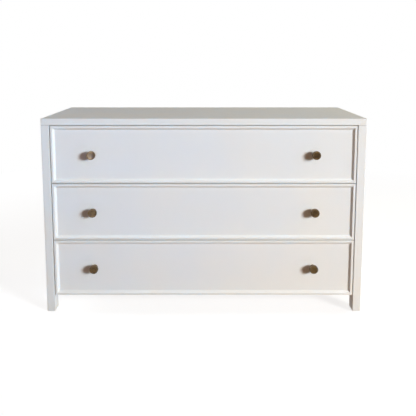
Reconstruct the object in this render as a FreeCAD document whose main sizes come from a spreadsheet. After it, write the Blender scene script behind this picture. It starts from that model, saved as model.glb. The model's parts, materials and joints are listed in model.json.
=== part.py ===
import FreeCAD, Part

import os
import re

import Sketcher
from FreeCAD import Placement, Rotation, Vector

# A three-drawer dresser, in millimetres.
#
# -Y is the chest's front, +Z is up, and left and right are those of someone who stands in front of it,
# so +X is to the right. The origin is on the floor, in the middle of the width and of the whole depth,
# knobs included.
#
# Each board is drawn from its own lowest, leftmost, foremost corner and then placed, so that every
# coordinate in a sketch is positive. The pieces of the right-hand side are mirrored from the left.

DRAWERS = 3

# Screws along each rail that holds the top, and along each slide member.
TOP_SCREWS = 4
SLIDE_SCREWS = 2

# Every size that can be chosen by itself: name, value, what it measures.
SIZES = [
    ("case_width", 1200, "over the posts and the top"),
    ("case_height", 745, "floor to the upper face of the top"),
    ("case_depth", 480, "front plane to back plane"),
    ("top_thick", 25, "the top"),
    ("post_width", 30, "a post, across the chest"),
    ("post_depth", 52, "a post, front to back"),
    ("edge_round", 1.5, "radius on the edges of top, posts and mouldings"),
    ("leg_clear", 67, "floor to the lowest drawer front"),
    ("reveal", 3, "gap round each drawer front"),
    ("top_reveal", 2, "gap under the top"),
    ("fit_gap", 0.1, "play on each side of a tongue, a tenon or a screw"),
    ("groove_depth", 8, "panel grooves in posts and rails"),
    ("groove_play", 0.5, "space left at the bottom of a groove or mortise"),
    ("side_inset", 6, "side panel behind the outer face of its frame"),
    ("side_panel_thick", 12, "side panel"),
    ("side_rail_thick", 22, "side rail, across the chest"),
    ("side_rail_height", 60, "side rail"),
    ("back_inset", 4, "back rails behind the back plane"),
    ("back_rail_thick", 18, "back rail"),
    ("back_rail_height", 60, "back rail"),
    ("back_panel_inset", 6, "back panel behind the face of its rails"),
    ("back_panel_thick", 6, "back panel"),
    ("strap_hole_radius", 1.5, "pilot holes for a wall strap"),
    ("strap_hole_depth", 12, "the same"),
    ("strap_hole_spacing", 400, "the same, centre to centre"),
    ("rail_thick", 18, "flat front rails"),
    ("rail_depth", 60, "flat front rails, front to back"),
    ("rail_play", 1, "drawer front to the rail behind it"),
    ("rail_lift", 2, "lowest rail above the lower edge of the lowest drawer front"),
    ("tenon_length", 10, "stub tenon"),
    ("tenon_shoulder", 3, "shoulder of a stub tenon"),
    ("cleat_height", 60, "slide cleat"),
    ("glide_radius", 11, "nail-on glide"),
    ("glide_thick", 3, "glide, between post and floor"),
    ("nail_radius", 1.2, "nail of a glide"),
    ("nail_length", 12, "the same"),
    ("top_screw_radius", 2, "screws that hold the top"),
    ("top_screw_head_radius", 4, "the same"),
    ("top_screw_head_thick", 2.5, "the same"),
    ("top_screw_bite", 12, "the same, length inside the top"),
    ("top_screw_end", 85, "first screw from the end of its rail"),
    ("front_thick", 19, "drawer front, without its moulding"),
    ("moulding_width", 16.5, "moulding, across its face"),
    ("moulding_thick", 8, "moulding, proud of the field"),
    ("moulding_flat", 8.5, "flat outer part of the moulding"),
    ("moulding_toe", 1, "flat inner edge of the moulding, at least"),
    ("moulding_toe_thick", 0.3, "the same"),
    ("moulding_quirk", 0.7, "small step above the bevel, at least"),
    ("box_side_thick", 12, "drawer box, all four walls"),
    ("box_lift", 24, "box above the lower edge of its front"),
    ("box_headroom", 31, "box below the upper edge of its front"),
    ("box_back_space", 29, "box to the back rails"),
    ("box_edge_round", 2, "upper edges of the drawer box"),
    ("bottom_thick", 6, "drawer bottom"),
    ("bottom_lift", 10, "drawer bottom above the lower edge of the box"),
    ("bottom_groove", 6, "groove for the drawer bottom"),
    ("slide_space", 13, "case to drawer box"),
    ("slide_step", 50, "slides are made in lengths that differ by this"),
    ("slide_start", 1, "slides behind the drawer front"),
    ("slide_height", 45, "outer slide member"),
    ("slide_sheet", 1.2, "steel of the slides"),
    ("outer_reach", 9.5, "flanges of the outer member"),
    ("middle_start", 3.2, "middle member from the case"),
    ("middle_reach", 7.7, "flanges of the middle member"),
    ("middle_short", 20, "middle member, shorter than the others by this"),
    ("inner_reach", 7.5, "flanges of the inner member"),
    ("race_height", 3.6, "ball race between two members"),
    ("race_play", 0.3, "free height in a race"),
    ("retainer_width", 4, "ball retainer"),
    ("retainer_start", 5.5, "ball retainer from the case"),
    ("slide_screw_radius", 1.75, "screws that hold the slides"),
    ("slide_screw_head_radius", 3.5, "the same"),
    ("slide_screw_head_thick", 1.4, "the same"),
    ("slide_screw_length", 10, "the same, without the head"),
    ("slide_screw_end", 60, "the same, from the end of the slide"),
    ("knob_end", 152, "knob from the end of the drawer front"),
    ("knob_projection", 32, "knob, from the field to its face"),
    ("knob_radius", 16, "drum of the knob"),
    ("knob_head_thick", 15, "drum and face together"),
    ("knob_face_radius", 14, "raised face"),
    ("knob_step", 3, "raised face above the drum"),
    ("knob_bevel", 0.8, "rounded edges of the knob"),
    ("knob_dish_radius", 10.5, "shallow dish in the face"),
    ("knob_dish_depth", 0.8, "the same"),
    ("knob_lip", 1, "flat ring between cove and drum, at least"),
    ("knob_neck_radius", 7, "neck"),
    ("knob_base_radius", 11, "base on the drawer front"),
    ("knob_base_thick", 2.5, "the same"),
    ("knob_screw_radius", 2, "machine screw"),
    ("knob_screw_head_radius", 4.5, "the same"),
    ("knob_screw_head_thick", 2.5, "the same"),
    ("knob_screw_bite", 10, "the same, length inside the knob"),
]

# What follows from the sizes. A formula may use any name above it.
WORKED = [
    ("half_width", "case_width / 2"),
    ("inner_width", "case_width - 2 * post_width"),
    ("under_top", "case_height - top_thick"),
    ("knob_proud", "knob_projection - moulding_thick"),
    ("front_y", "(knob_proud - case_depth) / 2"),
    ("back_y", "front_y + case_depth"),
    ("post_height", "under_top - glide_thick"),
    ("front_pitch", f"(under_top - leg_clear - top_reveal + reveal) / {DRAWERS}"),
    ("front_height", "front_pitch - reveal"),
    ("front_width", "inner_width - 2 * reveal"),
    ("front_stack", "moulding_thick + front_thick"),
    ("front_back_y", "front_y + front_stack"),
    ("tongue", "groove_depth - groove_play"),
    ("side_span", "case_depth - 2 * post_depth"),
    ("side_clear", "under_top - leg_clear - 2 * side_rail_height"),
    ("back_clear", "under_top - leg_clear - 2 * back_rail_height"),
    ("frame_height", "under_top - leg_clear"),
    ("rail_start", "front_stack + rail_play"),
    ("tenon_width", "post_depth - rail_start - 2 * tenon_shoulder"),
    ("tenon_thick", "rail_thick - 2 * tenon_shoulder"),
    ("mortise_depth", "tenon_length + groove_play"),
    ("cleat_thick", "post_width - side_inset - side_panel_thick"),
    ("box_height", "front_height - box_lift - box_headroom"),
    ("box_depth", "case_depth - front_stack - back_inset - back_rail_thick - box_back_space"),
    ("box_width", "inner_width - 2 * slide_space"),
    ("box_inner_width", "box_width - 2 * box_side_thick"),
    ("box_inner_depth", "box_depth - 2 * box_side_thick"),
    ("bottom_tongue", "bottom_groove - groove_play"),
    ("slide_length", "floor(box_depth / slide_step) * slide_step"),
    ("middle_length", "slide_length - middle_short"),
    ("slide_y", "front_back_y + slide_start"),
    ("slide_rise", "box_lift + (box_height - slide_height) / 2"),
    ("middle_rise", "slide_sheet + race_height"),
    ("middle_height", "slide_height - 2 * middle_rise"),
    ("inner_rise", "middle_rise + slide_sheet + race_height"),
    ("inner_height", "slide_height - 2 * inner_rise"),
    ("retainer_thick", "race_height - race_play"),
    ("slide_screw_pitch", f"(slide_length - 2 * slide_screw_end) / {SLIDE_SCREWS - 1}"),
    ("slide_pilot_depth", "slide_screw_length - slide_sheet + groove_play"),
    ("top_screw_pitch", f"(inner_width - 2 * top_screw_end) / {TOP_SCREWS - 1}"),
    ("bevel_run", "min(moulding_width - moulding_flat - moulding_toe; "
     "moulding_thick - moulding_toe_thick - moulding_quirk)"),
    ("knob_x", "front_width / 2 - knob_end"),
    ("knob_screw_length", "box_side_thick + front_thick + knob_screw_bite"),
    ("knob_back_radius", "knob_radius - knob_bevel"),
    ("knob_back", "knob_projection - knob_head_thick"),
    ("knob_cove", "min(knob_back_radius - knob_neck_radius - knob_lip; "
     "knob_back - knob_base_thick - knob_lip)"),
    ("knob_shoulder", "knob_projection - knob_step"),
]

# An origin plane for each axis that a shape can be extruded along, and the side its normal points to.
PLANES = {"X": ("YZ_Plane", 1), "Y": ("XZ_Plane", -1), "Z": ("XY_Plane", 1)}
ACROSS = {"X": "YZ", "Y": "XZ", "Z": "XY"}
AXES = "XYZ"

doc = FreeCAD.newDocument("dresser")
holder = {}
nodes = []


# ---------------------------------------------------------------- sheets and formulas


def bound(formula):
    """The formula, with each name led by the sheet that holds it."""
    return re.sub(r"[a-z][a-z_]*", lambda word: holder.get(word[0], "") + word[0], formula)


def fill_sheets():
    """Puts the sizes and what follows from them into two sheets."""
    chosen = doc.addObject("Spreadsheet::Sheet", "Sizes")
    for row, (name, value, meaning) in enumerate(SIZES, 1):
        chosen.set(f"A{row}", meaning)
        chosen.set(f"B{row}", str(value))
        chosen.setAlias(f"B{row}", name)
        holder[name] = "Sizes."
    worked = doc.addObject("Spreadsheet::Sheet", "Worked")
    for row, (name, formula) in enumerate(WORKED, 1):
        worked.set(f"A{row}", name.replace("_", " "))
        worked.set(f"B{row}", "=" + bound(formula))
        worked.setAlias(f"B{row}", name)
    for name, _ in WORKED:
        holder[name] = "Worked."
    doc.recompute()
    return chosen


def number(formula):
    """What a formula comes to now."""
    return float(sizes.evalExpression(bound(formula)))


# ---------------------------------------------------------------- sketches and features


def new_body(label):
    """An empty body with its own label."""
    body = doc.addObject("PartDesign::Body", label)
    body.Label = label
    return body


def new_sketch(body, name, axis, start):
    """A sketch across an axis of the body, at a distance along it."""
    role, side = PLANES[axis]
    plane = next(item for item in body.Origin.OriginFeatures if item.Role == role)
    sketch = body.newObject("Sketcher::SketchObject", name + "_sketch")
    sketch.AttachmentSupport = [(plane, "")]
    sketch.MapMode = "FlatFace"
    sign = "-" if side < 0 else ""
    sketch.setExpression("AttachmentOffset.Base.z", bound(f"{sign}({start})"))
    return sketch


def fix(sketch, kind, *where, to):
    """A dimension of the sketch, tied to a formula."""
    index = sketch.addConstraint(Sketcher.Constraint(kind, *where, number(to)))
    sketch.setExpression(f"Constraints[{index}]", bound(to))


def outline(sketch, corners, arcs=None):
    """A closed outline through corners, which are pairs of formulas.

    arcs says which edges are arcs: the number of the corner an edge starts from gives
    (centre across, centre up, radius).
    """
    arcs = arcs or {}
    points = [Vector(number(across), number(up), 0) for across, up in corners]
    heads, tails = [], []
    for index, point in enumerate(points):
        following = points[(index + 1) % len(points)]
        head, tail = 1, 2
        if index in arcs:
            across, up, radius = arcs[index]
            centre = Vector(number(across), number(up), 0)
            if (point - centre).cross(following - centre).z < 0:
                head, tail = 2, 1
            start, end = (point, following) if head == 1 else (following, point)
            circle = Part.Circle(centre, Vector(0, 0, 1), number(radius))
            edge = Part.ArcOfCircle(circle, circle.parameter(start), circle.parameter(end))
        else:
            edge = Part.LineSegment(point, following)
        sketch.addGeometry(edge, False)
        heads.append(head)
        tails.append(tail)
    for index, (across, up) in enumerate(corners):
        after = (index + 1) % len(corners)
        sketch.addConstraint(Sketcher.Constraint("Coincident", index, tails[index], after, heads[after]))
        fix(sketch, "DistanceX", index, heads[index], to=across)
        fix(sketch, "DistanceY", index, heads[index], to=up)
    for index, (_, _, radius) in arcs.items():
        fix(sketch, "Radius", index, to=radius)


def extrude(body, name, kind, sketch, axis, length):
    """A Pad or a Pocket of the sketch, always towards the axis's positive end."""
    side = PLANES[axis][1]
    feature = body.newObject(f"PartDesign::{kind}", name)
    feature.Profile = sketch
    feature.setExpression("Length", bound(length))
    feature.Reversed = (side < 0) == (kind == "Pad")
    return feature


def profile(body, name, kind, axis, start, corners, length, arcs=None):
    """Extrudes an outline along an axis."""
    sketch = new_sketch(body, name, axis, start)
    outline(sketch, corners, arcs)
    return extrude(body, name, kind, sketch, axis, length)


def block(body, name, kind, corner, size):
    """A rectangular block, added or cut. corner and size are three formulas each."""
    (left, front, foot), (wide, deep, tall) = corner, size
    right, back = f"{left} + {wide}", f"{front} + {deep}"
    corners = [(left, front), (right, front), (right, back), (left, back)]
    return profile(body, name, kind, "Z", foot, corners, tall)


def drill(body, name, axis, mouth, radius, depth):
    """A round hole that starts at mouth, three formulas, and runs towards the axis's positive end."""
    sketch = new_sketch(body, name, axis, mouth[AXES.index(axis)])
    across, up = (mouth[AXES.index(letter)] for letter in ACROSS[axis])
    centre = Vector(number(across), number(up), 0)
    sketch.addGeometry(Part.Circle(centre, Vector(0, 0, 1), number(radius)), False)
    fix(sketch, "DistanceX", 0, 3, to=across)
    fix(sketch, "DistanceY", 0, 3, to=up)
    fix(sketch, "Radius", 0, to=radius)
    return extrude(body, name, "Pocket", sketch, axis, depth)


def runs_along(edge, axis):
    """Whether an edge is straight and parallel to an axis."""
    direction = edge.Vertexes[-1].Point - edge.Vertexes[0].Point
    return abs(abs(direction[AXES.index(axis)]) - edge.Length) < 1e-6


def ease(body, feature, radius, chosen):
    """Rounds the edges of a feature for which chosen(edge) is true."""
    doc.recompute()
    names = [f"Edge{i}" for i, edge in enumerate(feature.Shape.Edges, 1) if chosen(edge)]
    fillet = body.newObject("PartDesign::Fillet", "edge_round")
    fillet.Base = (feature, names)
    fillet.setExpression("Radius", bound(radius))
    return fillet


def place(item, left, front, foot, turn=None):
    """Puts an object at three formulas, turned if turn is given."""
    if turn is not None:
        item.Placement = Placement(Vector(), turn)
    for letter, formula in zip("xyz", (left, front, foot)):
        item.setExpression(f"Placement.Base.{letter}", bound(formula))
    return item


def mirrored(source, label):
    """The same piece for the other side of the chest."""
    twin = doc.addObject("Part::Mirroring", label)
    twin.Label = label
    twin.Source = source
    twin.Normal = Vector(1, 0, 0)
    return twin


def group(label, pieces):
    """Several like solids in one node."""
    compound = doc.addObject("Part::Compound", label)
    compound.Label = label
    compound.Links = pieces
    return compound


def cylinder(name, radius, length, start="0"):
    """A cylinder on the Z axis."""
    item = doc.addObject("Part::Cylinder", name)
    item.setExpression("Radius", bound(radius))
    item.setExpression("Height", bound(length))
    item.setExpression("Placement.Base.z", bound(start))
    return item


def fastener(name, radius, length, head_radius, head_thick):
    """A screw or a nail along +Z, with the underside of its head at the origin."""
    shank = cylinder(name + "_shank", radius, f"{length} + {head_thick} / 2", f"-({head_thick}) / 2")
    head = cylinder(name + "_head", head_radius, head_thick, f"-({head_thick})")
    item = doc.addObject("Part::Fuse", name)
    item.Base = head
    item.Tool = shank
    return item


# ---------------------------------------------------------------- the case


def drawer_foot(drawer):
    """Height of a drawer front's lower edge, counted from the top drawer."""
    return f"(leg_clear + {DRAWERS - drawer} * front_pitch)"


def front_rails():
    """Name and underside of each flat front rail."""
    yield "top_front_rail", "(under_top - rail_thick)"
    for drawer, word in ((1, "upper"), (2, "lower")):
        yield f"divider_rail_{word}", f"({drawer_foot(drawer)} - (reveal + rail_thick) / 2)"
    yield "bottom_front_rail", "(leg_clear + rail_lift)"


def top_screw_places():
    """Distance of each top screw from the end of its rail's clear length."""
    return [f"(top_screw_end + {step} * top_screw_pitch)" for step in range(TOP_SCREWS)]


def top_screw_rows():
    """Distance behind the front plane of the two rows of screws that hold the top."""
    return {"front": "(rail_start + rail_depth / 2)",
            "back": "(case_depth - back_inset - back_rail_thick / 2)"}


def top_panel():
    """The slab top, with pilot holes for the screws that come up through the rails."""
    body = new_body("top_panel")
    slab = block(body, "slab", "Pad", ("0", "0", "0"), ("case_width", "case_depth", "top_thick"))
    ease(body, slab, "edge_round", lambda edge: True)
    for row, behind in top_screw_rows().items():
        for step, along in enumerate(top_screw_places(), 1):
            mouth = (f"post_width + {along}", behind, "0")
            drill(body, f"{row}_pilot_{step}", "Z", mouth, "top_screw_radius + fit_gap",
                  "top_screw_bite + groove_play")
    return place(body, "-half_width", "front_y", "under_top")


def post(label):
    """A post with its long edges eased and a pilot hole for the nail of its glide."""
    body = new_body(label)
    stock = block(body, "stock", "Pad", ("0", "0", "0"), ("post_width", "post_depth", "post_height"))
    ease(body, stock, "edge_round", lambda edge: runs_along(edge, "Z"))
    mouth = ("post_width / 2", "post_depth / 2", "0")
    drill(body, "nail_pilot", "Z", mouth, "nail_radius + fit_gap", "nail_length + groove_play")
    return body


def front_post():
    """The left front post: a groove for the side frame, mortises for the flat rails."""
    body = post("front_post_left")
    block(body, "side_groove", "Pocket",
          ("(side_inset - fit_gap)", "(post_depth - groove_depth)", "leg_clear - fit_gap - glide_thick"),
          ("(side_panel_thick + 2 * fit_gap)", "groove_depth", "frame_height + fit_gap"))
    for name, foot in front_rails():
        block(body, name + "_mortise", "Pocket",
              ("(post_width - mortise_depth)", "(rail_start + tenon_shoulder - fit_gap)",
               f"{foot} + tenon_shoulder - fit_gap - glide_thick"),
              ("mortise_depth", "(tenon_width + 2 * fit_gap)", "tenon_thick + 2 * fit_gap"))
    return place(body, "-half_width", "front_y", "glide_thick")


def back_post():
    """The left back post: a groove for the side frame and one for the back frame."""
    body = post("back_post_left")
    foot = "leg_clear - fit_gap - glide_thick"
    block(body, "side_groove", "Pocket", ("(side_inset - fit_gap)", "0", foot),
          ("(side_panel_thick + 2 * fit_gap)", "groove_depth", "frame_height + fit_gap"))
    behind = "(post_depth - back_inset - back_panel_inset - back_panel_thick - fit_gap)"
    block(body, "back_groove", "Pocket", ("(post_width - groove_depth)", behind, foot),
          ("groove_depth", "(back_panel_thick + 2 * fit_gap)", "frame_height + fit_gap"))
    return place(body, "-half_width", "back_y - post_depth", "glide_thick")


def frame_rail(label, span, thick, height, inset, panel, upper):
    """A rail of a panelled frame, outer face forwards, with a tongue at each end.

    The tongues are as thick as the panel, and run in the same grooves of the posts. The panel's own
    groove is in the rail's lower edge if upper is true, and else in its upper edge.
    """
    body = new_body(label)
    block(body, "stock", "Pad", ("tongue", "0", "0"), (span, thick, height))
    block(body, "tongues", "Pad", ("0", inset, "0"), (f"({span} + 2 * tongue)", panel, height))
    foot = "0" if upper else f"{height} - groove_depth"
    block(body, "panel_groove", "Pocket", ("0", f"({inset} - fit_gap)", foot),
          (f"({span} + 2 * tongue)", f"({panel} + 2 * fit_gap)", "groove_depth"))
    return body


def frame_panel(label, span, thick, clear):
    """A flat panel that fills a frame and its grooves."""
    body = new_body(label)
    block(body, "stock", "Pad", ("0", "0", "0"), (f"{span} + 2 * tongue", thick, f"{clear} + 2 * tongue"))
    return body


def side_frame():
    """The left side between its posts: upper rail, lower rail and panel."""
    turn = Rotation(Vector(0, 0, 1), -90)
    start = "back_y - post_depth + tongue"
    rails = {}
    for word, foot in (("upper", "under_top - side_rail_height"), ("lower", "leg_clear")):
        rail = frame_rail(f"side_rail_{word}_left", "side_span", "side_rail_thick", "side_rail_height",
                          "side_inset", "side_panel_thick", word == "upper")
        rails[word] = place(rail, "-half_width", start, foot, turn)
    panel = frame_panel("side_panel_left", "side_span", "side_panel_thick", "side_clear")
    foot = "leg_clear + side_rail_height - tongue"
    return [rails["upper"], rails["lower"], place(panel, "-half_width + side_inset", start, foot, turn)]


def back_frame():
    """The back between its posts: upper rail with strap and screw holes, lower rail and panel."""
    turn = Rotation(Vector(0, 0, 1), 180)
    start = "inner_width / 2 + tongue"
    upper = frame_rail("top_back_rail", "inner_width", "back_rail_thick", "back_rail_height",
                       "back_panel_inset", "back_panel_thick", True)
    for word, sign in (("first", "-"), ("second", "+")):
        along = f"tongue + (inner_width {sign} strap_hole_spacing) / 2"
        drill(upper, f"strap_pilot_{word}", "Y", (along, "0", "back_rail_height / 2"),
              "strap_hole_radius", "strap_hole_depth")
    for step, along in enumerate(top_screw_places(), 1):
        mouth = [f"tongue + {along}", "back_rail_thick / 2", "0"]
        drill(upper, f"counterbore_{step}", "Z", mouth, "top_screw_head_radius + fit_gap",
              "back_rail_height - rail_thick")
        mouth[2] = "back_rail_height - rail_thick"
        drill(upper, f"screw_way_{step}", "Z", mouth, "top_screw_radius + fit_gap", "rail_thick")
    face = "back_y - back_inset"
    place(upper, start, face, "under_top - back_rail_height", turn)
    lower = frame_rail("bottom_back_rail", "inner_width", "back_rail_thick", "back_rail_height",
                       "back_panel_inset", "back_panel_thick", False)
    place(lower, start, face, "leg_clear", turn)
    panel = frame_panel("back_panel", "inner_width", "back_panel_thick", "back_clear")
    place(panel, start, f"{face} - back_panel_inset", "leg_clear + back_rail_height - tongue", turn)
    return [upper, lower, panel]


def flat_rail(label, foot):
    """A flat rail behind the drawer fronts, with a stub tenon at each end."""
    body = new_body(label)
    block(body, "stock", "Pad", ("tenon_length", "0", "0"), ("inner_width", "rail_depth", "rail_thick"))
    block(body, "tenons", "Pad", ("0", "tenon_shoulder", "tenon_shoulder"),
          ("(inner_width + 2 * tenon_length)", "tenon_width", "tenon_thick"))
    if label == "top_front_rail":
        for step, along in enumerate(top_screw_places(), 1):
            drill(body, f"screw_way_{step}", "Z", (f"tenon_length + {along}", "rail_depth / 2", "0"),
                  "top_screw_radius + fit_gap", "rail_thick")
    return place(body, "-inner_width / 2 - tenon_length", "front_y + rail_start", foot)


def slide_screw_places():
    """Distance of each slide screw from the front end of its slide."""
    return [f"(slide_screw_end + {step} * slide_screw_pitch)" for step in range(SLIDE_SCREWS)]


def cleats():
    """The cleats that bring each side wall flush with its posts, with pilots for the slide screws."""
    pieces = []
    for drawer in range(1, DRAWERS + 1):
        body = new_body(f"cleat_{drawer}")
        block(body, "stock", "Pad", ("0", "0", "0"), ("cleat_thick", "side_span", "cleat_height"))
        for step, along in enumerate(slide_screw_places(), 1):
            deep_end = ("cleat_thick - slide_pilot_depth",
                        f"slide_y - front_y + {along} - post_depth", "cleat_height / 2")
            drill(body, f"slide_pilot_{step}", "X", deep_end, "slide_screw_radius + fit_gap",
                  "slide_pilot_depth")
        place(body, "-half_width + side_inset + side_panel_thick", "front_y + post_depth",
              f"{drawer_foot(drawer)} + box_lift + (box_height - cleat_height) / 2")
        pieces += [body, mirrored(body, f"cleat_{drawer}_right")]
    return group("slide_cleats", pieces)


def glides():
    """A nail-on glide under each post."""
    pieces = []
    for side in ("-", "+"):
        for end, behind in (("front", "front_y + post_depth / 2"), ("back", "back_y - post_depth / 2")):
            name = f"glide_{end}_{'left' if side == '-' else 'right'}"
            item = fastener(name, "nail_radius", "nail_length", "glide_radius", "glide_thick")
            pieces.append(place(item, f"{side}(half_width - post_width / 2)", behind, "glide_thick"))
    return group("foot_glides", pieces)


def case_screws():
    """The screws that hold the top to its rails, and the outer slide members to the cleats."""
    pieces = []
    for row, behind in top_screw_rows().items():
        for step, along in enumerate(top_screw_places(), 1):
            item = fastener(f"top_screw_{row}_{step}", "top_screw_radius", "rail_thick + top_screw_bite",
                            "top_screw_head_radius", "top_screw_head_thick")
            pieces.append(place(item, f"-inner_width / 2 + {along}", f"front_y + {behind}",
                                "under_top - rail_thick"))
    for drawer in range(1, DRAWERS + 1):
        height = f"{drawer_foot(drawer)} + box_lift + box_height / 2"
        for step, along in enumerate(slide_screw_places(), 1):
            name = f"slide_screw_{drawer}_{step}"
            item = fastener(name, "slide_screw_radius", "slide_screw_length",
                            "slide_screw_head_radius", "slide_screw_head_thick")
            place(item, "-inner_width / 2 + slide_sheet", f"slide_y + {along}", height,
                  Rotation(Vector(0, 1, 0), -90))
            pieces += [item, mirrored(item, name + "_right")]
    return group("case_screws", pieces)


# ---------------------------------------------------------------- the slides


def channel(label, start, foot, reach, height, length, opens_inwards):
    """A C-shaped slide member that runs along Y. start and foot place it in the slide's own section."""
    body = new_body(label)
    near, far = start, f"{start} + {reach}"
    if opens_inwards:
        web, mouth, inside = near, far, f"{near} + slide_sheet"
    else:
        web, mouth, inside = far, near, f"{far} - slide_sheet"
    low, high = foot, f"{foot} + {height}"
    floor, roof = f"{low} + slide_sheet", f"{high} - slide_sheet"
    corners = [(web, low), (mouth, low), (mouth, floor), (inside, floor),
               (inside, roof), (mouth, roof), (mouth, high), (web, high)]
    profile(body, "section", "Pad", "Y", "0", corners, length)
    return body


def screw_ways(body, start):
    """Holes through the web of a slide member, for its screws."""
    for step, along in enumerate(slide_screw_places(), 1):
        drill(body, f"screw_way_{step}", "X", (start, along, "slide_height / 2"),
              "slide_screw_radius + fit_gap", "slide_sheet")
    return body


def slide_foot(drawer):
    """Height of the underside of a drawer's slides."""
    return f"{drawer_foot(drawer)} + slide_rise"


def place_slide(item, drawer, setback="0"):
    """Puts a left-hand piece of a slide against the case."""
    return place(item, "-inner_width / 2", f"slide_y + {setback}", slide_foot(drawer))


def both_sides(label, pieces):
    """Left-hand pieces and their mirror images in one node."""
    twins = [mirrored(item, item.Label + "_right") for item in pieces]
    return group(label, pieces + twins)


def outer_members(drawer):
    """The slide members that are screwed to the case."""
    name = f"drawer_{drawer}_slide_outer"
    body = channel(name + "_left", "0", "0", "outer_reach", "slide_height", "slide_length", True)
    screw_ways(body, "0")
    return both_sides(name, [place_slide(body, drawer)])


def middle_members(drawer):
    """The telescoping slide members, with the ball retainers that lie above and below each race."""
    name = f"drawer_{drawer}_slide_middle"
    body = channel(name + "_left", "middle_start", "middle_rise", "middle_reach", "middle_height",
                   "middle_length", True)
    pieces = [place_slide(body, drawer)]
    feet = {"lowest": "middle_rise - retainer_thick",
            "lower": "middle_rise + slide_sheet",
            "upper": "slide_height - middle_rise - slide_sheet - retainer_thick",
            "highest": "slide_height - middle_rise"}
    for word, foot in feet.items():
        retainer = new_body(f"{name}_retainer_{word}")
        block(retainer, "strip", "Pad", ("retainer_start", "0", foot),
              ("retainer_width", "middle_length", "retainer_thick"))
        pieces.append(place_slide(retainer, drawer))
    return both_sides(name, pieces)


def inner_members(drawer):
    """The slide members that are screwed to the drawer."""
    name = f"drawer_{drawer}_slide_inner"
    body = channel(name + "_left", "slide_space - inner_reach", "inner_rise", "inner_reach", "inner_height",
                   "slide_length", False)
    screw_ways(body, "slide_space - slide_sheet")
    return both_sides(name, [place_slide(body, drawer)])


# ---------------------------------------------------------------- a drawer


def knob_places():
    """The two knobs of a drawer: side and distance from the middle."""
    return {"left": "-knob_x", "right": "knob_x"}


def drawer_front(drawer):
    """The flat front, with a hole for each knob's screw."""
    body = new_body(f"drawer_{drawer}_front")
    block(body, "stock", "Pad", ("0", "0", "0"), ("front_width", "front_thick", "front_height"))
    for side, along in knob_places().items():
        drill(body, f"knob_hole_{side}", "Y", (f"front_width / 2 + {along}", "0", "front_height / 2"),
              "knob_screw_radius + fit_gap", "front_thick")
    return place(body, "-front_width / 2", "front_y + moulding_thick", drawer_foot(drawer))


def moulding_strip(label, length):
    """A bevelled strip along X: its face at y = 0, its outer edge at z = 0, and both ends mitred."""
    body = new_body(label)
    toe = "moulding_thick - moulding_toe_thick"
    corners = [("moulding_thick", "0"), ("edge_round", "0"), ("0", "edge_round"), ("0", "moulding_flat"),
               (f"{toe} - bevel_run", "moulding_flat"), (toe, "moulding_flat + bevel_run"),
               (toe, "moulding_width"), ("moulding_thick", "moulding_width")]
    arcs = {1: ("edge_round", "edge_round", "edge_round")}
    profile(body, "section", "Pad", "X", "0", corners, length, arcs)
    near = [("0", "0"), ("moulding_width", "moulding_width"), ("0", "moulding_width")]
    far = [(f"{length} - {across}" if across != "0" else length, up) for across, up in near]
    for word, corners in (("near", near), ("far", far)):
        profile(body, f"mitre_{word}", "Pocket", "Y", "0", corners, "moulding_thick")
    return body


def moulding(drawer):
    """Four mitred strips planted round the edge of a drawer front."""
    foot = drawer_foot(drawer)
    left, right, head = "-front_width / 2", "front_width / 2", f"{foot} + front_height"
    strips = {"bottom": (0, "front_width", left, foot), "top": (180, "front_width", right, head),
              "left": (90, "front_height", left, head), "right": (-90, "front_height", right, foot)}
    pieces = []
    for word, (degrees, length, across, up) in strips.items():
        strip = moulding_strip(f"drawer_{drawer}_moulding_{word}", length)
        pieces.append(place(strip, across, "front_y", up, Rotation(Vector(0, 1, 0), degrees)))
    return group(f"drawer_{drawer}_moulding", pieces)


def box_side(drawer):
    """The left wall of a drawer box."""
    body = new_body(f"drawer_{drawer}_side_left")
    stock = block(body, "stock", "Pad", ("0", "0", "0"), ("box_side_thick", "box_depth", "box_height"))
    ease_upper(body, stock, "Y")
    block(body, "bottom_groove", "Pocket",
          ("(box_side_thick - bottom_groove)", "(box_side_thick - bottom_groove)", "bottom_lift - fit_gap"),
          ("bottom_groove", "(box_inner_depth + 2 * bottom_groove)", "bottom_thick + 2 * fit_gap"))
    for step, along in enumerate(slide_screw_places(), 1):
        drill(body, f"slide_pilot_{step}", "X", ("0", f"slide_start + {along}", "box_height / 2"),
              "slide_screw_radius + fit_gap", "slide_pilot_depth")
    return place(body, "-box_width / 2", "front_back_y", f"{drawer_foot(drawer)} + box_lift")


def ease_upper(body, stock, axis):
    """Rounds the two long upper edges of a wall of the drawer box."""
    top = number("box_height")
    ease(body, stock, "box_edge_round",
         lambda edge: runs_along(edge, axis) and abs(edge.CenterOfMass.z - top) < 1e-6)


def box_end(drawer, word):
    """The front or the back wall of a drawer box, between its sides."""
    body = new_body(f"drawer_{drawer}_box_{word}")
    stock = block(body, "stock", "Pad", ("0", "0", "0"), ("box_inner_width", "box_side_thick", "box_height"))
    ease_upper(body, stock, "X")
    inner_face = "(box_side_thick - bottom_groove)" if word == "front" else "0"
    block(body, "bottom_groove", "Pocket", ("0", inner_face, "bottom_lift - fit_gap"),
          ("box_inner_width", "bottom_groove", "bottom_thick + 2 * fit_gap"))
    if word == "front":
        for side, along in knob_places().items():
            mouth = (f"box_inner_width / 2 + {along}", "0", "front_height / 2 - box_lift")
            drill(body, f"knob_hole_{side}", "Y", mouth, "knob_screw_radius + fit_gap", "box_side_thick")
    behind = "0" if word == "front" else "box_depth - box_side_thick"
    foot = f"{drawer_foot(drawer)} + box_lift"
    return place(body, "-box_inner_width / 2", f"front_back_y + {behind}", foot)


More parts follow.
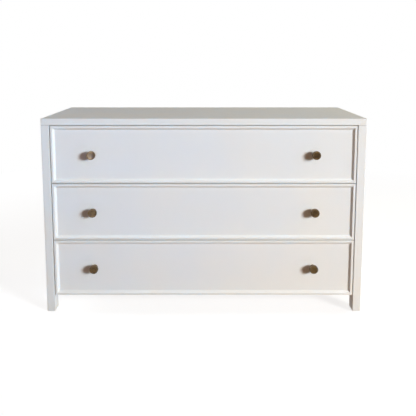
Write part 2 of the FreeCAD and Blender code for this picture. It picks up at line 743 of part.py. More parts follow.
def box_bottom(drawer):
    """The bottom, loose in the grooves of all four walls."""
    body = new_body(f"drawer_{drawer}_bottom")
    block(body, "stock", "Pad", ("0", "0", "0"),
          ("box_inner_width + 2 * bottom_tongue", "box_inner_depth + 2 * bottom_tongue", "bottom_thick"))
    return place(body, "-box_inner_width / 2 - bottom_tongue",
                 "front_back_y + box_side_thick - bottom_tongue",
                 f"{drawer_foot(drawer)} + box_lift + bottom_lift")


def knob(drawer, side, along):
    """A turned knob: base, coved neck, drum, and a raised face with a shallow dish."""
    body = new_body(f"drawer_{drawer}_knob_{side}")
    sketch = new_sketch(body, "section", "Z", "0")
    hole = "knob_screw_radius + fit_gap"
    shoulder = "knob_shoulder - knob_bevel"
    face = "knob_projection - knob_bevel"
    dish = "knob_projection - knob_dish_depth"
    neck = "knob_back - knob_cove"
    corners = [
        (hole, "0"),
        ("knob_base_radius", "0"),
        ("knob_base_radius", "knob_base_thick - knob_bevel"),
        ("knob_base_radius - knob_bevel", "knob_base_thick"),
        ("knob_neck_radius", "knob_base_thick"),
        ("knob_neck_radius", neck),
        ("knob_neck_radius + knob_cove", "knob_back"),
        ("knob_back_radius", "knob_back"),
        ("knob_radius", "knob_back + knob_bevel"),
        ("knob_radius", shoulder),
        ("knob_radius - knob_bevel", "knob_shoulder"),
        ("knob_face_radius", "knob_shoulder"),
        ("knob_face_radius", face),
        ("knob_face_radius - knob_bevel", "knob_projection"),
        ("knob_dish_radius", "knob_projection"),
        ("knob_dish_radius - knob_bevel", dish),
        ("0", dish),
        ("0", "knob_screw_bite + groove_play"),
        (hole, "knob_screw_bite + groove_play"),
    ]
    arcs = {
        2: ("knob_base_radius - knob_bevel", "knob_base_thick - knob_bevel", "knob_bevel"),
        5: ("knob_neck_radius + knob_cove", neck, "knob_cove"),
        7: ("knob_back_radius", "knob_back + knob_bevel", "knob_bevel"),
        9: ("knob_radius - knob_bevel", shoulder, "knob_bevel"),
        12: ("knob_face_radius - knob_bevel", face, "knob_bevel"),
    }
    outline(sketch, corners, arcs)
    turned = body.newObject("PartDesign::Revolution", "turned")
    turned.Profile = sketch
    turned.ReferenceAxis = (sketch, ["V_Axis"])
    turned.Angle = 360
    return place(body, along, "front_y + moulding_thick", f"{drawer_foot(drawer)} + front_height / 2",
                 Rotation(Vector(0, 0, 1), 180))


def drawer_screws(drawer):
    """The machine screws of the knobs, and the screws of the inner slide members."""
    pieces = []
    foot = drawer_foot(drawer)
    for side, along in knob_places().items():
        item = fastener(f"drawer_{drawer}_knob_screw_{side}", "knob_screw_radius", "knob_screw_length",
                        "knob_screw_head_radius", "knob_screw_head_thick")
        pieces.append(place(item, along, "front_back_y + box_side_thick", f"{foot} + front_height / 2",
                            Rotation(Vector(1, 0, 0), 90)))
    for step, along in enumerate(slide_screw_places(), 1):
        name = f"drawer_{drawer}_slide_screw_{step}"
        item = fastener(name, "slide_screw_radius", "slide_screw_length",
                        "slide_screw_head_radius", "slide_screw_head_thick")
        place(item, "-box_width / 2 - slide_sheet", f"slide_y + {along}",
              f"{foot} + box_lift + box_height / 2", Rotation(Vector(0, 1, 0), 90))
        pieces += [item, mirrored(item, name + "_right")]
    return group(f"drawer_{drawer}_screws", pieces)


# ---------------------------------------------------------------- the whole chest


def build_case():
    """Every piece of the case."""
    left = [front_post(), back_post(), *side_frame()]
    nodes.append(top_panel())
    for piece in left:
        nodes.extend([piece, mirrored(piece, piece.Label.replace("_left", "_right"))])
    nodes.extend(back_frame())
    nodes.extend(flat_rail(name, foot) for name, foot in front_rails())
    nodes.extend([cleats(), glides(), case_screws()])


def build_drawer(drawer):
    """Every piece of one drawer and its slides."""
    side = box_side(drawer)
    nodes.extend([drawer_front(drawer), moulding(drawer), side])
    nodes.append(mirrored(side, f"drawer_{drawer}_side_right"))
    nodes.extend([box_end(drawer, "front"), box_end(drawer, "back"), box_bottom(drawer)])
    nodes.extend(knob(drawer, hand, along) for hand, along in knob_places().items())
    nodes.extend([drawer_screws(drawer), outer_members(drawer), middle_members(drawer)])
    nodes.append(inner_members(drawer))


def check_document():
    """Stops at any failed object, and at any pocket that removes nothing."""
    for item in doc.Objects:
        if "Invalid" in item.State or "Error" in item.State:
            raise RuntimeError(f"{item.Label} failed: {item.State}")
        if item.TypeId == "PartDesign::Pocket":
            before = item.BaseFeature.Shape.Volume
            if item.Shape.Volume > before - 1e-3:
                raise RuntimeError(f"{item.Label} cuts nothing")
    for item in nodes:
        if item.Shape.isNull() or not item.Shape.isValid():
            raise RuntimeError(f"{item.Label} has no valid shape")


def write_parts():
    """One STEP file for each node."""
    os.makedirs("parts", exist_ok=True)
    for item in nodes:
        item.Shape.exportStep(f"parts/{item.Label}.step")
        print(f"{item.Label}: {len(item.Shape.Solids)} solid(s), {item.Shape.Volume / 1000:.1f} cm3")


sizes = fill_sheets()
build_case()
for drawer in range(1, DRAWERS + 1):
    build_drawer(drawer)
doc.recompute()
check_document()
write_parts()
print(f"{len(nodes)} nodes")
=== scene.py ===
import json
import logging
import math
from dataclasses import dataclass
from enum import Enum

import bmesh
import bpy
import numpy as np
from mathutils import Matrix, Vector


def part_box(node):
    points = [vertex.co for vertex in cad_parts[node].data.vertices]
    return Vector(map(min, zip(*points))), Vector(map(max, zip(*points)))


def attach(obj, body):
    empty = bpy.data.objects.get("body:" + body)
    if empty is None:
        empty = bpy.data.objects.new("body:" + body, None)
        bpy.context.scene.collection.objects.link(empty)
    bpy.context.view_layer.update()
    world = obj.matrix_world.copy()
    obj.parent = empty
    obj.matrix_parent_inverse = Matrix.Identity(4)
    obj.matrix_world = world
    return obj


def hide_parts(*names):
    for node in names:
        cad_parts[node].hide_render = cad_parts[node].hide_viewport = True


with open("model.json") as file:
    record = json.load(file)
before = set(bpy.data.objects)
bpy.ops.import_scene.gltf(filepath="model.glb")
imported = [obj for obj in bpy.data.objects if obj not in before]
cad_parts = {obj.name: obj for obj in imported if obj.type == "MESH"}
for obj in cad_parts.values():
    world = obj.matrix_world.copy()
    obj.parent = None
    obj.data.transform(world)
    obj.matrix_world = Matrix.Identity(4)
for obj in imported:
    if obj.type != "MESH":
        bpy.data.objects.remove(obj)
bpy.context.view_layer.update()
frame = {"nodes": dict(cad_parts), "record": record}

# A white lacquered chest of three drawers, in metres. The front looks along -Y, +Z is up, the floor is z = 0.
# Boards, posts, rails and cleats keep the shapes they are built with and are finished here. Mouldings, knobs,
# slides, screws and glides are drawn again, finer, in the place of their construction solids.

MM = 0.001
DRAWERS = (1, 2, 3)
SIDES = ("left", "right")
# Past this angle, in degrees, an edge stays sharp.
CREASE = 30.0
# Points nearer to each other than this, in metres, become one.
WELD = 1e-7

Tree = bpy.types.NodeTree
Node = bpy.types.Node
Feed = bpy.types.Node | bpy.types.NodeSocket | float | tuple
Span = tuple[float, float]
# A form is its points, one a row, and its faces, each a row of four point numbers.
Form = tuple[np.ndarray, np.ndarray]

# Clouds keep mostly to the middle of their range from 0 to 1. Spreading less of it hardens their edges.
SOFT: Span = (0.3, 0.7)
PATCHY: Span = (0.35, 0.65)

log = logging.getLogger("chest")


class Slot(Enum):
    """Names of material slots that are passed along with the pieces; nothing reads them."""

    WHITE_LACQUER = "white_lacquer"
    AGED_BRASS = "aged_brass"
    SLIDE_STEEL = "slide_steel"
    SCREW_STEEL = "screw_steel"
    GLIDE_NYLON = "glide_nylon"


class Axis(Enum):
    """A direction of the chest."""

    X = 0
    Y = 1
    Z = 2


class Mouth(Enum):
    """Which way the open side of a slide member looks."""

    INWARDS = 1
    OUTWARDS = -1


class Groove(Enum):
    """On which side of a slide member's flanges the balls run that they are bent round."""

    NONE = 0
    INSIDE = 1
    OUTSIDE = -1


# ---------------------------------------------------------------- colours and nodes


def linear(hex_code: str) -> tuple[float, float, float, float]:
    """Turns an sRGB colour into linear light.

    Args:
        hex_code: the colour as "#rrggbb".

    Returns:
        Red, green, blue and an alpha of 1.
    """
    parts = np.array([int(hex_code[place:place + 2], 16) for place in (1, 3, 5)]) / 255
    light = np.where(parts <= 0.04045, parts / 12.92, ((parts + 0.055) / 1.055) ** 2.4)
    return (*light.tolist(), 1.0)


def per_metre(millimetres: float) -> float:
    """The scale of a pattern whose features are this far apart."""
    return 1 / (millimetres * MM)


def drawn_out(grain: Axis, share: float) -> tuple[float, ...]:
    """Factors that draw a pattern out along the grain, the more the smaller the share is."""
    return tuple(share if axis is grain else 1.0 for axis in Axis)


def add(tree: Tree, kind: str, *values: Feed, inputs: dict[str, Feed] | None = None,
        **settings: str) -> Node:
    """Adds a node to a tree.

    A socket takes a number, a colour, an output socket, or a node, whose first output in use feeds it.

    Args:
        tree: the tree.
        kind: the node's type, without the "ShaderNode" that they all start with.
        *values: what the input sockets in use take, in their order.
        inputs: what input sockets take, by name.
        **settings: the node's own properties.

    Returns:
        The new node.
    """
    node = tree.nodes.new(f"ShaderNode{kind}")
    for name, value in settings.items():
        setattr(node, name, value)
    fed = list(zip([socket for socket in node.inputs if socket.enabled], values))
    fed += [(node.inputs[name], value) for name, value in (inputs or {}).items()]
    for socket, value in fed:
        if isinstance(value, bpy.types.Node):
            value = next(output for output in value.outputs if output.enabled)
        if isinstance(value, bpy.types.NodeSocket):
            tree.links.new(value, socket)
        else:
            socket.default_value = value
    return node


def emptied(holder: bpy.types.Material | bpy.types.World) -> Tree:
    """Turns on the nodes of a material or a world, and clears away those that it starts with.

    Args:
        holder: the material or world.

    Returns:
        Its empty node tree.
    """
    holder.use_nodes = True
    holder.node_tree.nodes.clear()
    return holder.node_tree


def clouds(tree: Tree, size_mm: float, detail: float, across: tuple[float, ...] = (1.0, 1.0, 1.0)) -> Node:
    """A cloudy pattern, from 0 to 1, on Object coordinates.

    Args:
        tree: the node tree.
        size_mm: how wide one cloud is.
        detail: how many finer layers lie on it.
        across: what each axis is multiplied by first.

    Returns:
        The node that gives the pattern.
    """
    place = add(tree, "TexCoord").outputs["Object"]
    place = add(tree, "Mapping", place, inputs={"Scale": across})
    return add(tree, "TexNoise", place, per_metre(size_mm), detail)


def ripples(tree: Tree, value: Feed, density: float) -> Node:
    """Even waves, from -1 to 1: the sine of a value.

    Args:
        tree: the node tree.
        value: what the waves follow.
        density: how many waves there are to each unit of it.

    Returns:
        The node that gives the pattern.
    """
    angle = add(tree, "Math", value, 2 * math.pi * density, operation="MULTIPLY")
    return add(tree, "Math", angle, operation="SINE")


# ---------------------------------------------------------------- finishes


@dataclass(frozen=True, kw_only=True)
class Finish:
    """What a surface is made of and how it was finished.

    A range of roughness goes with a pattern, from where that is 0 to where it is 1.
    """

    name: str

    def look(self, tree: Tree) -> dict[str, Feed]:
        """Draws the finish's patterns.

        Args:
            tree: the material's node tree.

        Returns:
            What the surface shader's sockets take, by name.
        """
        raise NotImplementedError

    def material(self) -> bpy.types.Material:
        """Builds the material: the finish's look on a surface shader.

        Returns:
            The material.
        """
        material = bpy.data.materials.new(self.name)
        tree = emptied(material)
        add(tree, "OutputMaterial", add(tree, "BsdfPrincipled", inputs=self.look(tree)))
        return material


@dataclass(frozen=True, kw_only=True)
class Lacquer(Finish):
    """Satin polyurethane lacquer, sprayed over primer on MDF and poplar.

    It gives the eye a soft even white that drifts a little between cool and warm, the faint pimples that a
    spray gun leaves, a slow waviness of the sanded board under it, a hairline where the top lies on the
    case, and a trace of dust where the legs meet the floor.
    """

    name: str = "satin_lacquer_on_mdf"
    cool: str = "#e7e9ea"
    warm: str = "#ebeae7"
    drift_mm: float = 240.0
    roughness: Span = (0.43, 0.54)
    sheen_mm: float = 30.0
    ior: float = 1.5
    specular: float = 0.25
    wave_mm: float = 55.0
    wave_depth_mm: float = 0.02
    # A spray gun leaves pimples about 1 mm apart, drawn here at 5 mm so that they show.
    pimple_mm: float = 5.0
    pimple_depth_mm: float = 0.012
    pimple_shade: float = 0.05
    dust: str = "#b9ae9f"
    dust_height_mm: float = 40.0
    dust_share: float = 0.08
    smudge_mm: float = 18.0
    smudge: Span = (0.2, 1.0)
    joint: str = "#c2c1bd"
    # The joint is a hairline of 0.2 mm, drawn here 1.4 mm wide so that it shows.
    joint_mm: float = 1.4
    # Where the top lies on the case, in metres.
    joint_height: float

    def look(self, tree: Tree) -> dict[str, Feed]:
        """Draws the drift, the pimples, the waves, the dust and the joint under the top.

        Args:
            tree: the material's node tree.

        Returns:
            What the surface shader's sockets take, by name.
        """
        drift = add(tree, "MapRange", clouds(tree, self.drift_mm, detail=3.0), *PATCHY)
        colour = add(tree, "Mix", drift, linear(self.cool), linear(self.warm), data_type="RGBA")
        pimples = clouds(tree, self.pimple_mm, detail=2.0)
        grey = add(tree, "CombineColor", pimples, pimples, pimples)
        colour = add(tree, "Mix", self.pimple_shade, colour, grey, data_type="RGBA", blend_type="SOFT_LIGHT")
        height = add(tree, "SeparateXYZ", add(tree, "TexCoord").outputs["Object"]).outputs["Z"]
        floor = add(tree, "MapRange", height, 0.0, self.dust_height_mm * MM, self.dust_share, 0.0)
        smudges = add(tree, "MapRange", clouds(tree, self.smudge_mm, detail=4.0), *SOFT, *self.smudge)
        dust = add(tree, "Math", floor, smudges, operation="MULTIPLY")
        colour = add(tree, "Mix", dust, colour, linear(self.dust), data_type="RGBA")
        near = add(tree, "Math", height, self.joint_height, self.joint_mm / 2 * MM, operation="COMPARE")
        colour = add(tree, "Mix", near, colour, linear(self.joint), data_type="RGBA")
        sheen = add(tree, "MapRange", clouds(tree, self.sheen_mm, detail=3.0), *SOFT, *self.roughness)
        waves = clouds(tree, self.wave_mm, detail=1.0)
        normal = add(tree, "Bump", inputs={"Height": waves, "Distance": self.wave_depth_mm * MM})
        normal = add(tree, "Bump", inputs={
            "Height": pimples, "Distance": self.pimple_depth_mm * MM, "Normal": normal})
        return {"Base Color": colour, "Roughness": sheen, "IOR": self.ior,
                "Specular IOR Level": self.specular, "Normal": normal}


@dataclass(frozen=True, kw_only=True)
class AgedBrass(Finish):
    """Turned brass with a brown chemical patina, rubbed back and waxed.

    It gives the eye a dark olive brown with golden metal showing where hands and the polisher's cloth wear
    it, and fine rings from the lathe on the face.
    """

    name: str = "aged_turned_brass"
    patina: str = "#3d2a12"
    brown: str = "#5c4624"
    rubbed: str = "#9c8154"
    metallic: float = 0.9
    roughness: Span = (0.42, 0.3)
    wax: float = 0.2
    wax_roughness: float = 0.3
    blotch_mm: float = 16.0
    blotches: Span = (0.38, 0.66)
    # How far an edge stands out, on the scale on which a flat face is 0.5, from unworn to worn.
    edge: Span = (0.5, 0.56)
    rub_share: float = 0.75
    scratch_mm: float = 2.5
    scratch: Span = (0.4, 1.0)
    # The tool leaves rings 0.2 mm apart, drawn here at 1.2 mm so that they show.
    ring_mm: float = 1.2
    ring_depth_mm: float = 0.02

    def look(self, tree: Tree) -> dict[str, Feed]:
        """Draws the blotches, the rubbed edges and the rings, whose radius is the length of the piece's UVs.

        Args:
            tree: the material's node tree.

        Returns:
            What the surface shader's sockets take, by name.
        """
        blotches = add(tree, "MapRange", clouds(tree, self.blotch_mm, detail=4.0), *self.blotches)
        colour = add(tree, "Mix", blotches, linear(self.patina), linear(self.brown), data_type="RGBA")
        edge = add(tree, "NewGeometry").outputs["Pointiness"]
        worn = add(tree, "MapRange", edge, *self.edge, 0.0, self.rub_share)
        scratches = add(tree, "MapRange", clouds(tree, self.scratch_mm, detail=3.0), *SOFT, *self.scratch)
        worn = add(tree, "Math", worn, scratches, operation="MULTIPLY")
        colour = add(tree, "Mix", worn, colour, linear(self.rubbed), data_type="RGBA")
        radius = add(tree, "VectorMath", add(tree, "UVMap"), operation="LENGTH")
        rings = add(tree, "MapRange", ripples(tree, radius, per_metre(self.ring_mm)), -1.0, 1.0)
        normal = add(tree, "Bump", inputs={"Height": rings, "Distance": self.ring_depth_mm * MM})
        rough = add(tree, "MapRange", blotches, 0.0, 1.0, *self.roughness)
        return {"Base Color": colour, "Metallic": self.metallic, "Roughness": rough, "Normal": normal,
                "Coat Weight": self.wax, "Coat Roughness": self.wax_roughness}


@dataclass(frozen=True, kw_only=True)
class Plywood(Finish):
    """Birch plywood under clear matt varnish.

    It gives the eye a pale honey face with the wandering growth rings of a peeled veneer, fine brown grain
    along them, and stripes of light and dark veneer wherever the sheet is cut across.
    """

    through: Axis
    grain: Axis
    pale: str = "#dcc59c"
    tan: str = "#c7a873"
    glue: str = "#8a6a42"
    ior: float = 1.5
    roughness: Span = (0.5, 0.65)
    ring_mm: float = 70.0
    ring_count: float = 9.0
    rings: Span = (-0.9, 1.0)
    ring_share: float = 0.75
    ring_stretch: float = 0.12
    band_mm: float = 30.0
    bands: Span = (0.4, 0.7)
    band_share: float = 0.35
    # The pores are lines of 0.1 mm, drawn here 1.2 mm apart so that they show.
    pore_mm: float = 1.2
    pores: Span = (0.5, 0.75)
    pore_share: float = 0.4
    pore_stretch: float = 0.02
    pore_depth_mm: float = 0.03
    ply_mm: float = 1.5
    plies: Span = (-0.3, 0.3)
    # A surface counts as cut across where its normal runs less along the sheet's thickness than this.
    cut: Span = (0.6, 0.8)

    def look(self, tree: Tree) -> dict[str, Feed]:
        """Draws the face of the sheet, and its plies where it is cut across.

        Args:
            tree: the material's node tree.

        Returns:
            What the surface shader's sockets take, by name.
        """
        along = drawn_out(self.grain, self.ring_stretch)
        rings = ripples(tree, clouds(tree, self.ring_mm, detail=1.5, across=along), self.ring_count)
        rings = add(tree, "MapRange", rings, *self.rings, 0.0, self.ring_share)
        face = add(tree, "Mix", rings, linear(self.pale), linear(self.tan), data_type="RGBA")
        bands = clouds(tree, self.band_mm, detail=2.0, across=along)
        bands = add(tree, "MapRange", bands, *self.bands, 0.0, self.band_share)
        face = add(tree, "Mix", bands, face, linear(self.tan), data_type="RGBA")
        pores = clouds(tree, self.pore_mm, detail=3.0, across=drawn_out(self.grain, self.pore_stretch))
        dark = add(tree, "MapRange", pores, *self.pores, 0.0, self.pore_share)
        face = add(tree, "Mix", dark, face, linear(self.glue), data_type="RGBA")
        facing = add(tree, "SeparateXYZ", add(tree, "NewGeometry").outputs["True Normal"])
        facing = add(tree, "Math", facing.outputs[self.through.value], operation="ABSOLUTE")
        cut = add(tree, "MapRange", facing, *self.cut, 1.0, 0.0)
        depth = add(tree, "SeparateXYZ", add(tree, "TexCoord").outputs["Object"])
        plies = ripples(tree, depth.outputs[self.through.value], per_metre(2 * self.ply_mm))
        plies = add(tree, "MapRange", plies, *self.plies)
        plies = add(tree, "Mix", plies, linear(self.pale), linear(self.glue), data_type="RGBA")
        colour = add(tree, "Mix", cut, face, plies, data_type="RGBA")
        rough = add(tree, "MapRange", pores, *SOFT, *self.roughness)
        normal = add(tree, "Bump", inputs={"Height": pores, "Distance": self.pore_depth_mm * MM})
        return {"Base Color": colour, "Roughness": rough, "IOR": self.ior, "Normal": normal}


@dataclass(frozen=True, kw_only=True)
class Beech(Finish):
    """Planed beech, bare, with its grain from front to back.

    It gives the eye a pinkish tan with the short dark flecks of its rays.
    """

    name: str = "bare_beech"
    light: str = "#cfa57a"
    dark: str = "#b1835a"
    fleck: str = "#7b5636"
    ior: float = 1.5
    roughness: Span = (0.55, 0.68)
    drift_mm: float = 20.0
    drift_stretch: float = 0.08
    fleck_mm: float = 2.0
    flecks: Span = (0.62, 0.72)
    fleck_share: float = 0.6
    fleck_stretch: float = 0.25
    fleck_depth_mm: float = 0.02

    def look(self, tree: Tree) -> dict[str, Feed]:
        """Draws the drift of the wood and its flecks.

        Args:
            tree: the material's node tree.

        Returns:
            What the surface shader's sockets take, by name.
        """
        broad = clouds(tree, self.drift_mm, detail=3.0, across=drawn_out(Axis.Y, self.drift_stretch))
        drift = add(tree, "MapRange", broad, *PATCHY)
        colour = add(tree, "Mix", drift, linear(self.light), linear(self.dark), data_type="RGBA")
        flecks = clouds(tree, self.fleck_mm, detail=1.0, across=drawn_out(Axis.Y, self.fleck_stretch))
        dark = add(tree, "MapRange", flecks, *self.flecks, 0.0, self.fleck_share)
        colour = add(tree, "Mix", dark, colour, linear(self.fleck), data_type="RGBA")
        rough = add(tree, "MapRange", broad, 0.0, 1.0, *self.roughness)
        normal = add(tree, "Bump", inputs={"Height": flecks, "Distance": self.fleck_depth_mm * MM})
        return {"Base Color": colour, "Roughness": rough, "IOR": self.ior, "Normal": normal}


@dataclass(frozen=True, kw_only=True)
class Steel(Finish):
    """Steel, plated or polished.

    It gives the eye a grey metal with a faint drift of tint and fine lines from front to back.
    """

    bright: str
    dull: str
    roughness: Span
    drift_mm: float = 25.0
    line_mm: float = 1.5
    line_stretch: float = 0.03
    line_depth_mm: float = 0.01

    def look(self, tree: Tree) -> dict[str, Feed]:
        """Draws the drift of tint and the drawing lines.

        Args:
            tree: the material's node tree.

        Returns:
            What the surface shader's sockets take, by name.
        """
        drift = add(tree, "MapRange", clouds(tree, self.drift_mm, detail=3.0), *PATCHY)
        colour = add(tree, "Mix", drift, linear(self.bright), linear(self.dull), data_type="RGBA")
        lines = clouds(tree, self.line_mm, detail=2.0, across=drawn_out(Axis.Y, self.line_stretch))
        rough = add(tree, "MapRange", lines, *SOFT, *self.roughness)
        normal = add(tree, "Bump", inputs={"Height": lines, "Distance": self.line_depth_mm * MM})
        return {"Base Color": colour, "Metallic": 1.0, "Roughness": rough, "Normal": normal}


@dataclass(frozen=True, kw_only=True)
class Nylon(Finish):
    """Moulded nylon.

    It gives the eye a milky off-white with a fine matt grain, a little soiled by the floor.
    """

    name: str = "moulded_nylon"
    clean: str = "#d5d3cc"
    soiled: str = "#a39d92"
    ior: float = 1.53
    roughness: Span = (0.45, 0.6)
    soil_mm: float = 9.0
    soil: Span = (0.4, 0.7)
    soil_share: float = 0.7
    grain_mm: float = 0.8
    grain_depth_mm: float = 0.01

    def look(self, tree: Tree) -> dict[str, Feed]:
        """Draws the soil and the grain.

        Args:
            tree: the material's node tree.

        Returns:
            What the surface shader's sockets take, by name.
        """
        soil = clouds(tree, self.soil_mm, detail=4.0)
        soil = add(tree, "MapRange", soil, *self.soil, 0.0, self.soil_share)
        colour = add(tree, "Mix", soil, linear(self.clean), linear(self.soiled), data_type="RGBA")
        grain = clouds(tree, self.grain_mm, detail=1.0)
        rough = add(tree, "MapRange", grain, 0.0, 1.0, *self.roughness)
        normal = add(tree, "Bump", inputs={"Height": grain, "Distance": self.grain_depth_mm * MM})
        return {"Base Color": colour, "Roughness": rough, "IOR": self.ior, "Normal": normal}


@dataclass(frozen=True)
class Palette:
    """Every finish of the chest, built once."""

    lacquer: bpy.types.Material
    brass: bpy.types.Material
    zinc: bpy.types.Material
    yellow_zinc: bpy.types.Material
    ball_steel: bpy.types.Material
    beech: bpy.types.Material
    nylon: bpy.types.Material
    wall_ply: bpy.types.Material
    end_ply: bpy.types.Material
    bottom_ply: bpy.types.Material

    @classmethod
    def mix(cls) -> "Palette":
        """Builds the materials.

        Returns:
            The palette.
        """
        finishes = {
            "lacquer": Lacquer(joint_height=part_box("top_panel")[0].z),
            "brass": AgedBrass(),
            # Cold-rolled strip in bright zinc: cool, even and softly shiny.
            "zinc": Steel(name="bright_zinc_plated_steel", bright="#d2d4d6", dull="#c2c4c3",
                          roughness=(0.26, 0.44)),
            # Screws passivated in yellow: a pale straw tint on the same metal.
            "yellow_zinc": Steel(name="yellow_zinc_plated_steel", bright="#cfc39a", dull="#bba878",
                                 roughness=(0.24, 0.42)),
            # Hardened balls, ground and polished: almost a mirror.
            "ball_steel": Steel(name="polished_bearing_steel", bright="#dcdcdd", dull="#d0d0d2",
                                roughness=(0.06, 0.24)),
            "beech": Beech(),
            "nylon": Nylon(),
            "wall_ply": Plywood(name="birch_plywood_x_y", through=Axis.X, grain=Axis.Y),
            "end_ply": Plywood(name="birch_plywood_y_x", through=Axis.Y, grain=Axis.X),
            "bottom_ply": Plywood(name="birch_plywood_z_x", through=Axis.Z, grain=Axis.X),
        }
        return cls(**{use: finish.material() for use, finish in finishes.items()})


# ---------------------------------------------------------------- surfaces


def arc(centre: tuple[float, float], radius: float, start: float, end: float, steps: int) -> np.ndarray:
    """Points along an arc: the centre plus the radius times the cosine and sine of evenly spaced angles.

    Args:
        centre: the centre, across and up.
        radius: the radius.
        start: the first angle, in degrees.
        end: the last angle, in degrees.
        steps: how many points.

    Returns:
        The points, one a row.
    """
    angles = np.radians(np.linspace(start, end, steps))
    return np.column_stack([centre[0] + radius * np.cos(angles), centre[1] + radius * np.sin(angles)])


def grid_faces(rows: int, columns: int, wrap: bool) -> np.ndarray:
    """Corner numbers of the quads between neighbouring points of a grid.

    Args:
        rows: points along the first parameter.
        columns: points along the second parameter.
        wrap: whether the second parameter closes on itself.

    Returns:
        One quad a row.
    """
    index = np.arange(rows * columns).reshape(rows, columns)
    if wrap:
        index = np.hstack([index, index[:, :1]])
    corners = (index[:-1, :-1], index[:-1, 1:], index[1:, 1:], index[1:, :-1])
    return np.stack(corners, axis=-1).reshape(-1, 4)


def joined(forms: list[Form]) -> Form:
    """Makes one form of several: their points in a row, and their faces numbered to match.

    Args:
        forms: the forms.

    Returns:
        The one form.
    """
    starts = np.cumsum([0] + [len(points) for points, _ in forms[:-1]])
    faces = [faces + start for (_, faces), start in zip(forms, starts)]
    return np.vstack([points for points, _ in forms]), np.vstack(faces)


def turned(radius: np.ndarray, height: np.ndarray, foot: tuple[float, float, float], out: Axis, sign: int,
           segments: int) -> Form:
    """A surface turned about an axis.

    A point is the foot plus its height along the axis, plus its radius times the cosine and the sine of
    the turn along the two other axes.

    Args:
        radius: a radius for each row, or for each row and segment, in metres.
        height: how far each row is from the foot, in metres.
        foot: where the axis starts.
        out: the axis.
        sign: 1 if the heights run along it, -1 if against it.
        segments: how many steps a turn has.

    Returns:
        The surface.
    """
    turn = np.linspace(0, 2 * math.pi, segments, endpoint=False)
    radius = radius.reshape(len(height), -1)
    first, second = (axis.value for axis in Axis if axis is not out)
    points = np.empty((len(height), segments, 3))
    points[..., out.value] = foot[out.value] + sign * height[:, None]
    points[..., first] = foot[first] + radius * np.cos(turn)
    points[..., second] = foot[second] + radius * np.sin(turn)
    return points.reshape(-1, 3), grid_faces(len(height), segments, wrap=True)


def smooth(mesh: bpy.types.Mesh, crease: float) -> None:
    """Shades a mesh smoothly between its sharp edges."""
    mesh.shade_smooth()
    mesh.set_sharp_from_angle(angle=math.radians(crease))


def thicken(piece: bpy.types.Object, sheet_mm: float) -> None:
    """Turns a surface into sheet metal, half of its thickness on either side.

    Args:
        piece: the surface.
        sheet_mm: the thickness.
    """
    layer = piece.modifiers.new("sheet", "SOLIDIFY")
    layer.thickness = sheet_mm * MM
    layer.offset = 0.0
    layer.use_even_offset = True
    finished = piece.evaluated_get(bpy.context.evaluated_depsgraph_get())
    mesh = bpy.data.meshes.new_from_object(finished)
    piece.modifiers.clear()
    piece.data = mesh
    smooth(mesh, CREASE)


def make_piece(name: str, points: np.ndarray, faces: np.ndarray, material: bpy.types.Material,
               crease: float = CREASE) -> bpy.types.Object:
    """Puts a surface into a mesh, closes its seams and poles and turns its faces outwards.

    Args:
        name: the piece's name.
        points: the vertices, one a row.
        faces: the vertex numbers of each face, one face a row.
        material: its finish.
        crease: the angle, in degrees, past which an edge stays sharp.

    Returns:
        The new object.
    """
    mesh = bpy.data.meshes.new(name)
    mesh.from_pydata(points, [], faces)
    form = bmesh.new()
    form.from_mesh(mesh)
    bmesh.ops.remove_doubles(form, verts=form.verts, dist=WELD)
    bmesh.ops.recalc_face_normals(form, faces=form.faces)
    form.to_mesh(mesh)
    form.free()
    smooth(mesh, crease)
    mesh.materials.append(material)
    piece = bpy.data.objects.new(name, mesh)
    bpy.context.scene.collection.objects.link(piece)
    return piece


def stand_in(piece: bpy.types.Object, body: str, slot: Slot, *nodes: str) -> None:
    """Makes a piece ride on a body in the place of its construction nodes.

    Args:
        piece: the piece.
        body: the body.
        slot: not used.
        *nodes: the nodes that it stands for.
    """
    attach(piece, body)
    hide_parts(*nodes)
    log.info("%s rides on %s", piece.name, body)


def finish_node(node: str, material: bpy.types.Material) -> None:
    """Gives a construction node its finish.

    Args:
        node: the node.
        material: the finish.
    """
    held = frame["nodes"][node].data.materials
    held.clear()
    held.append(material)
    log.info("%s is finished in %s", node, material.name)


# ---------------------------------------------------------------- sub-assemblies


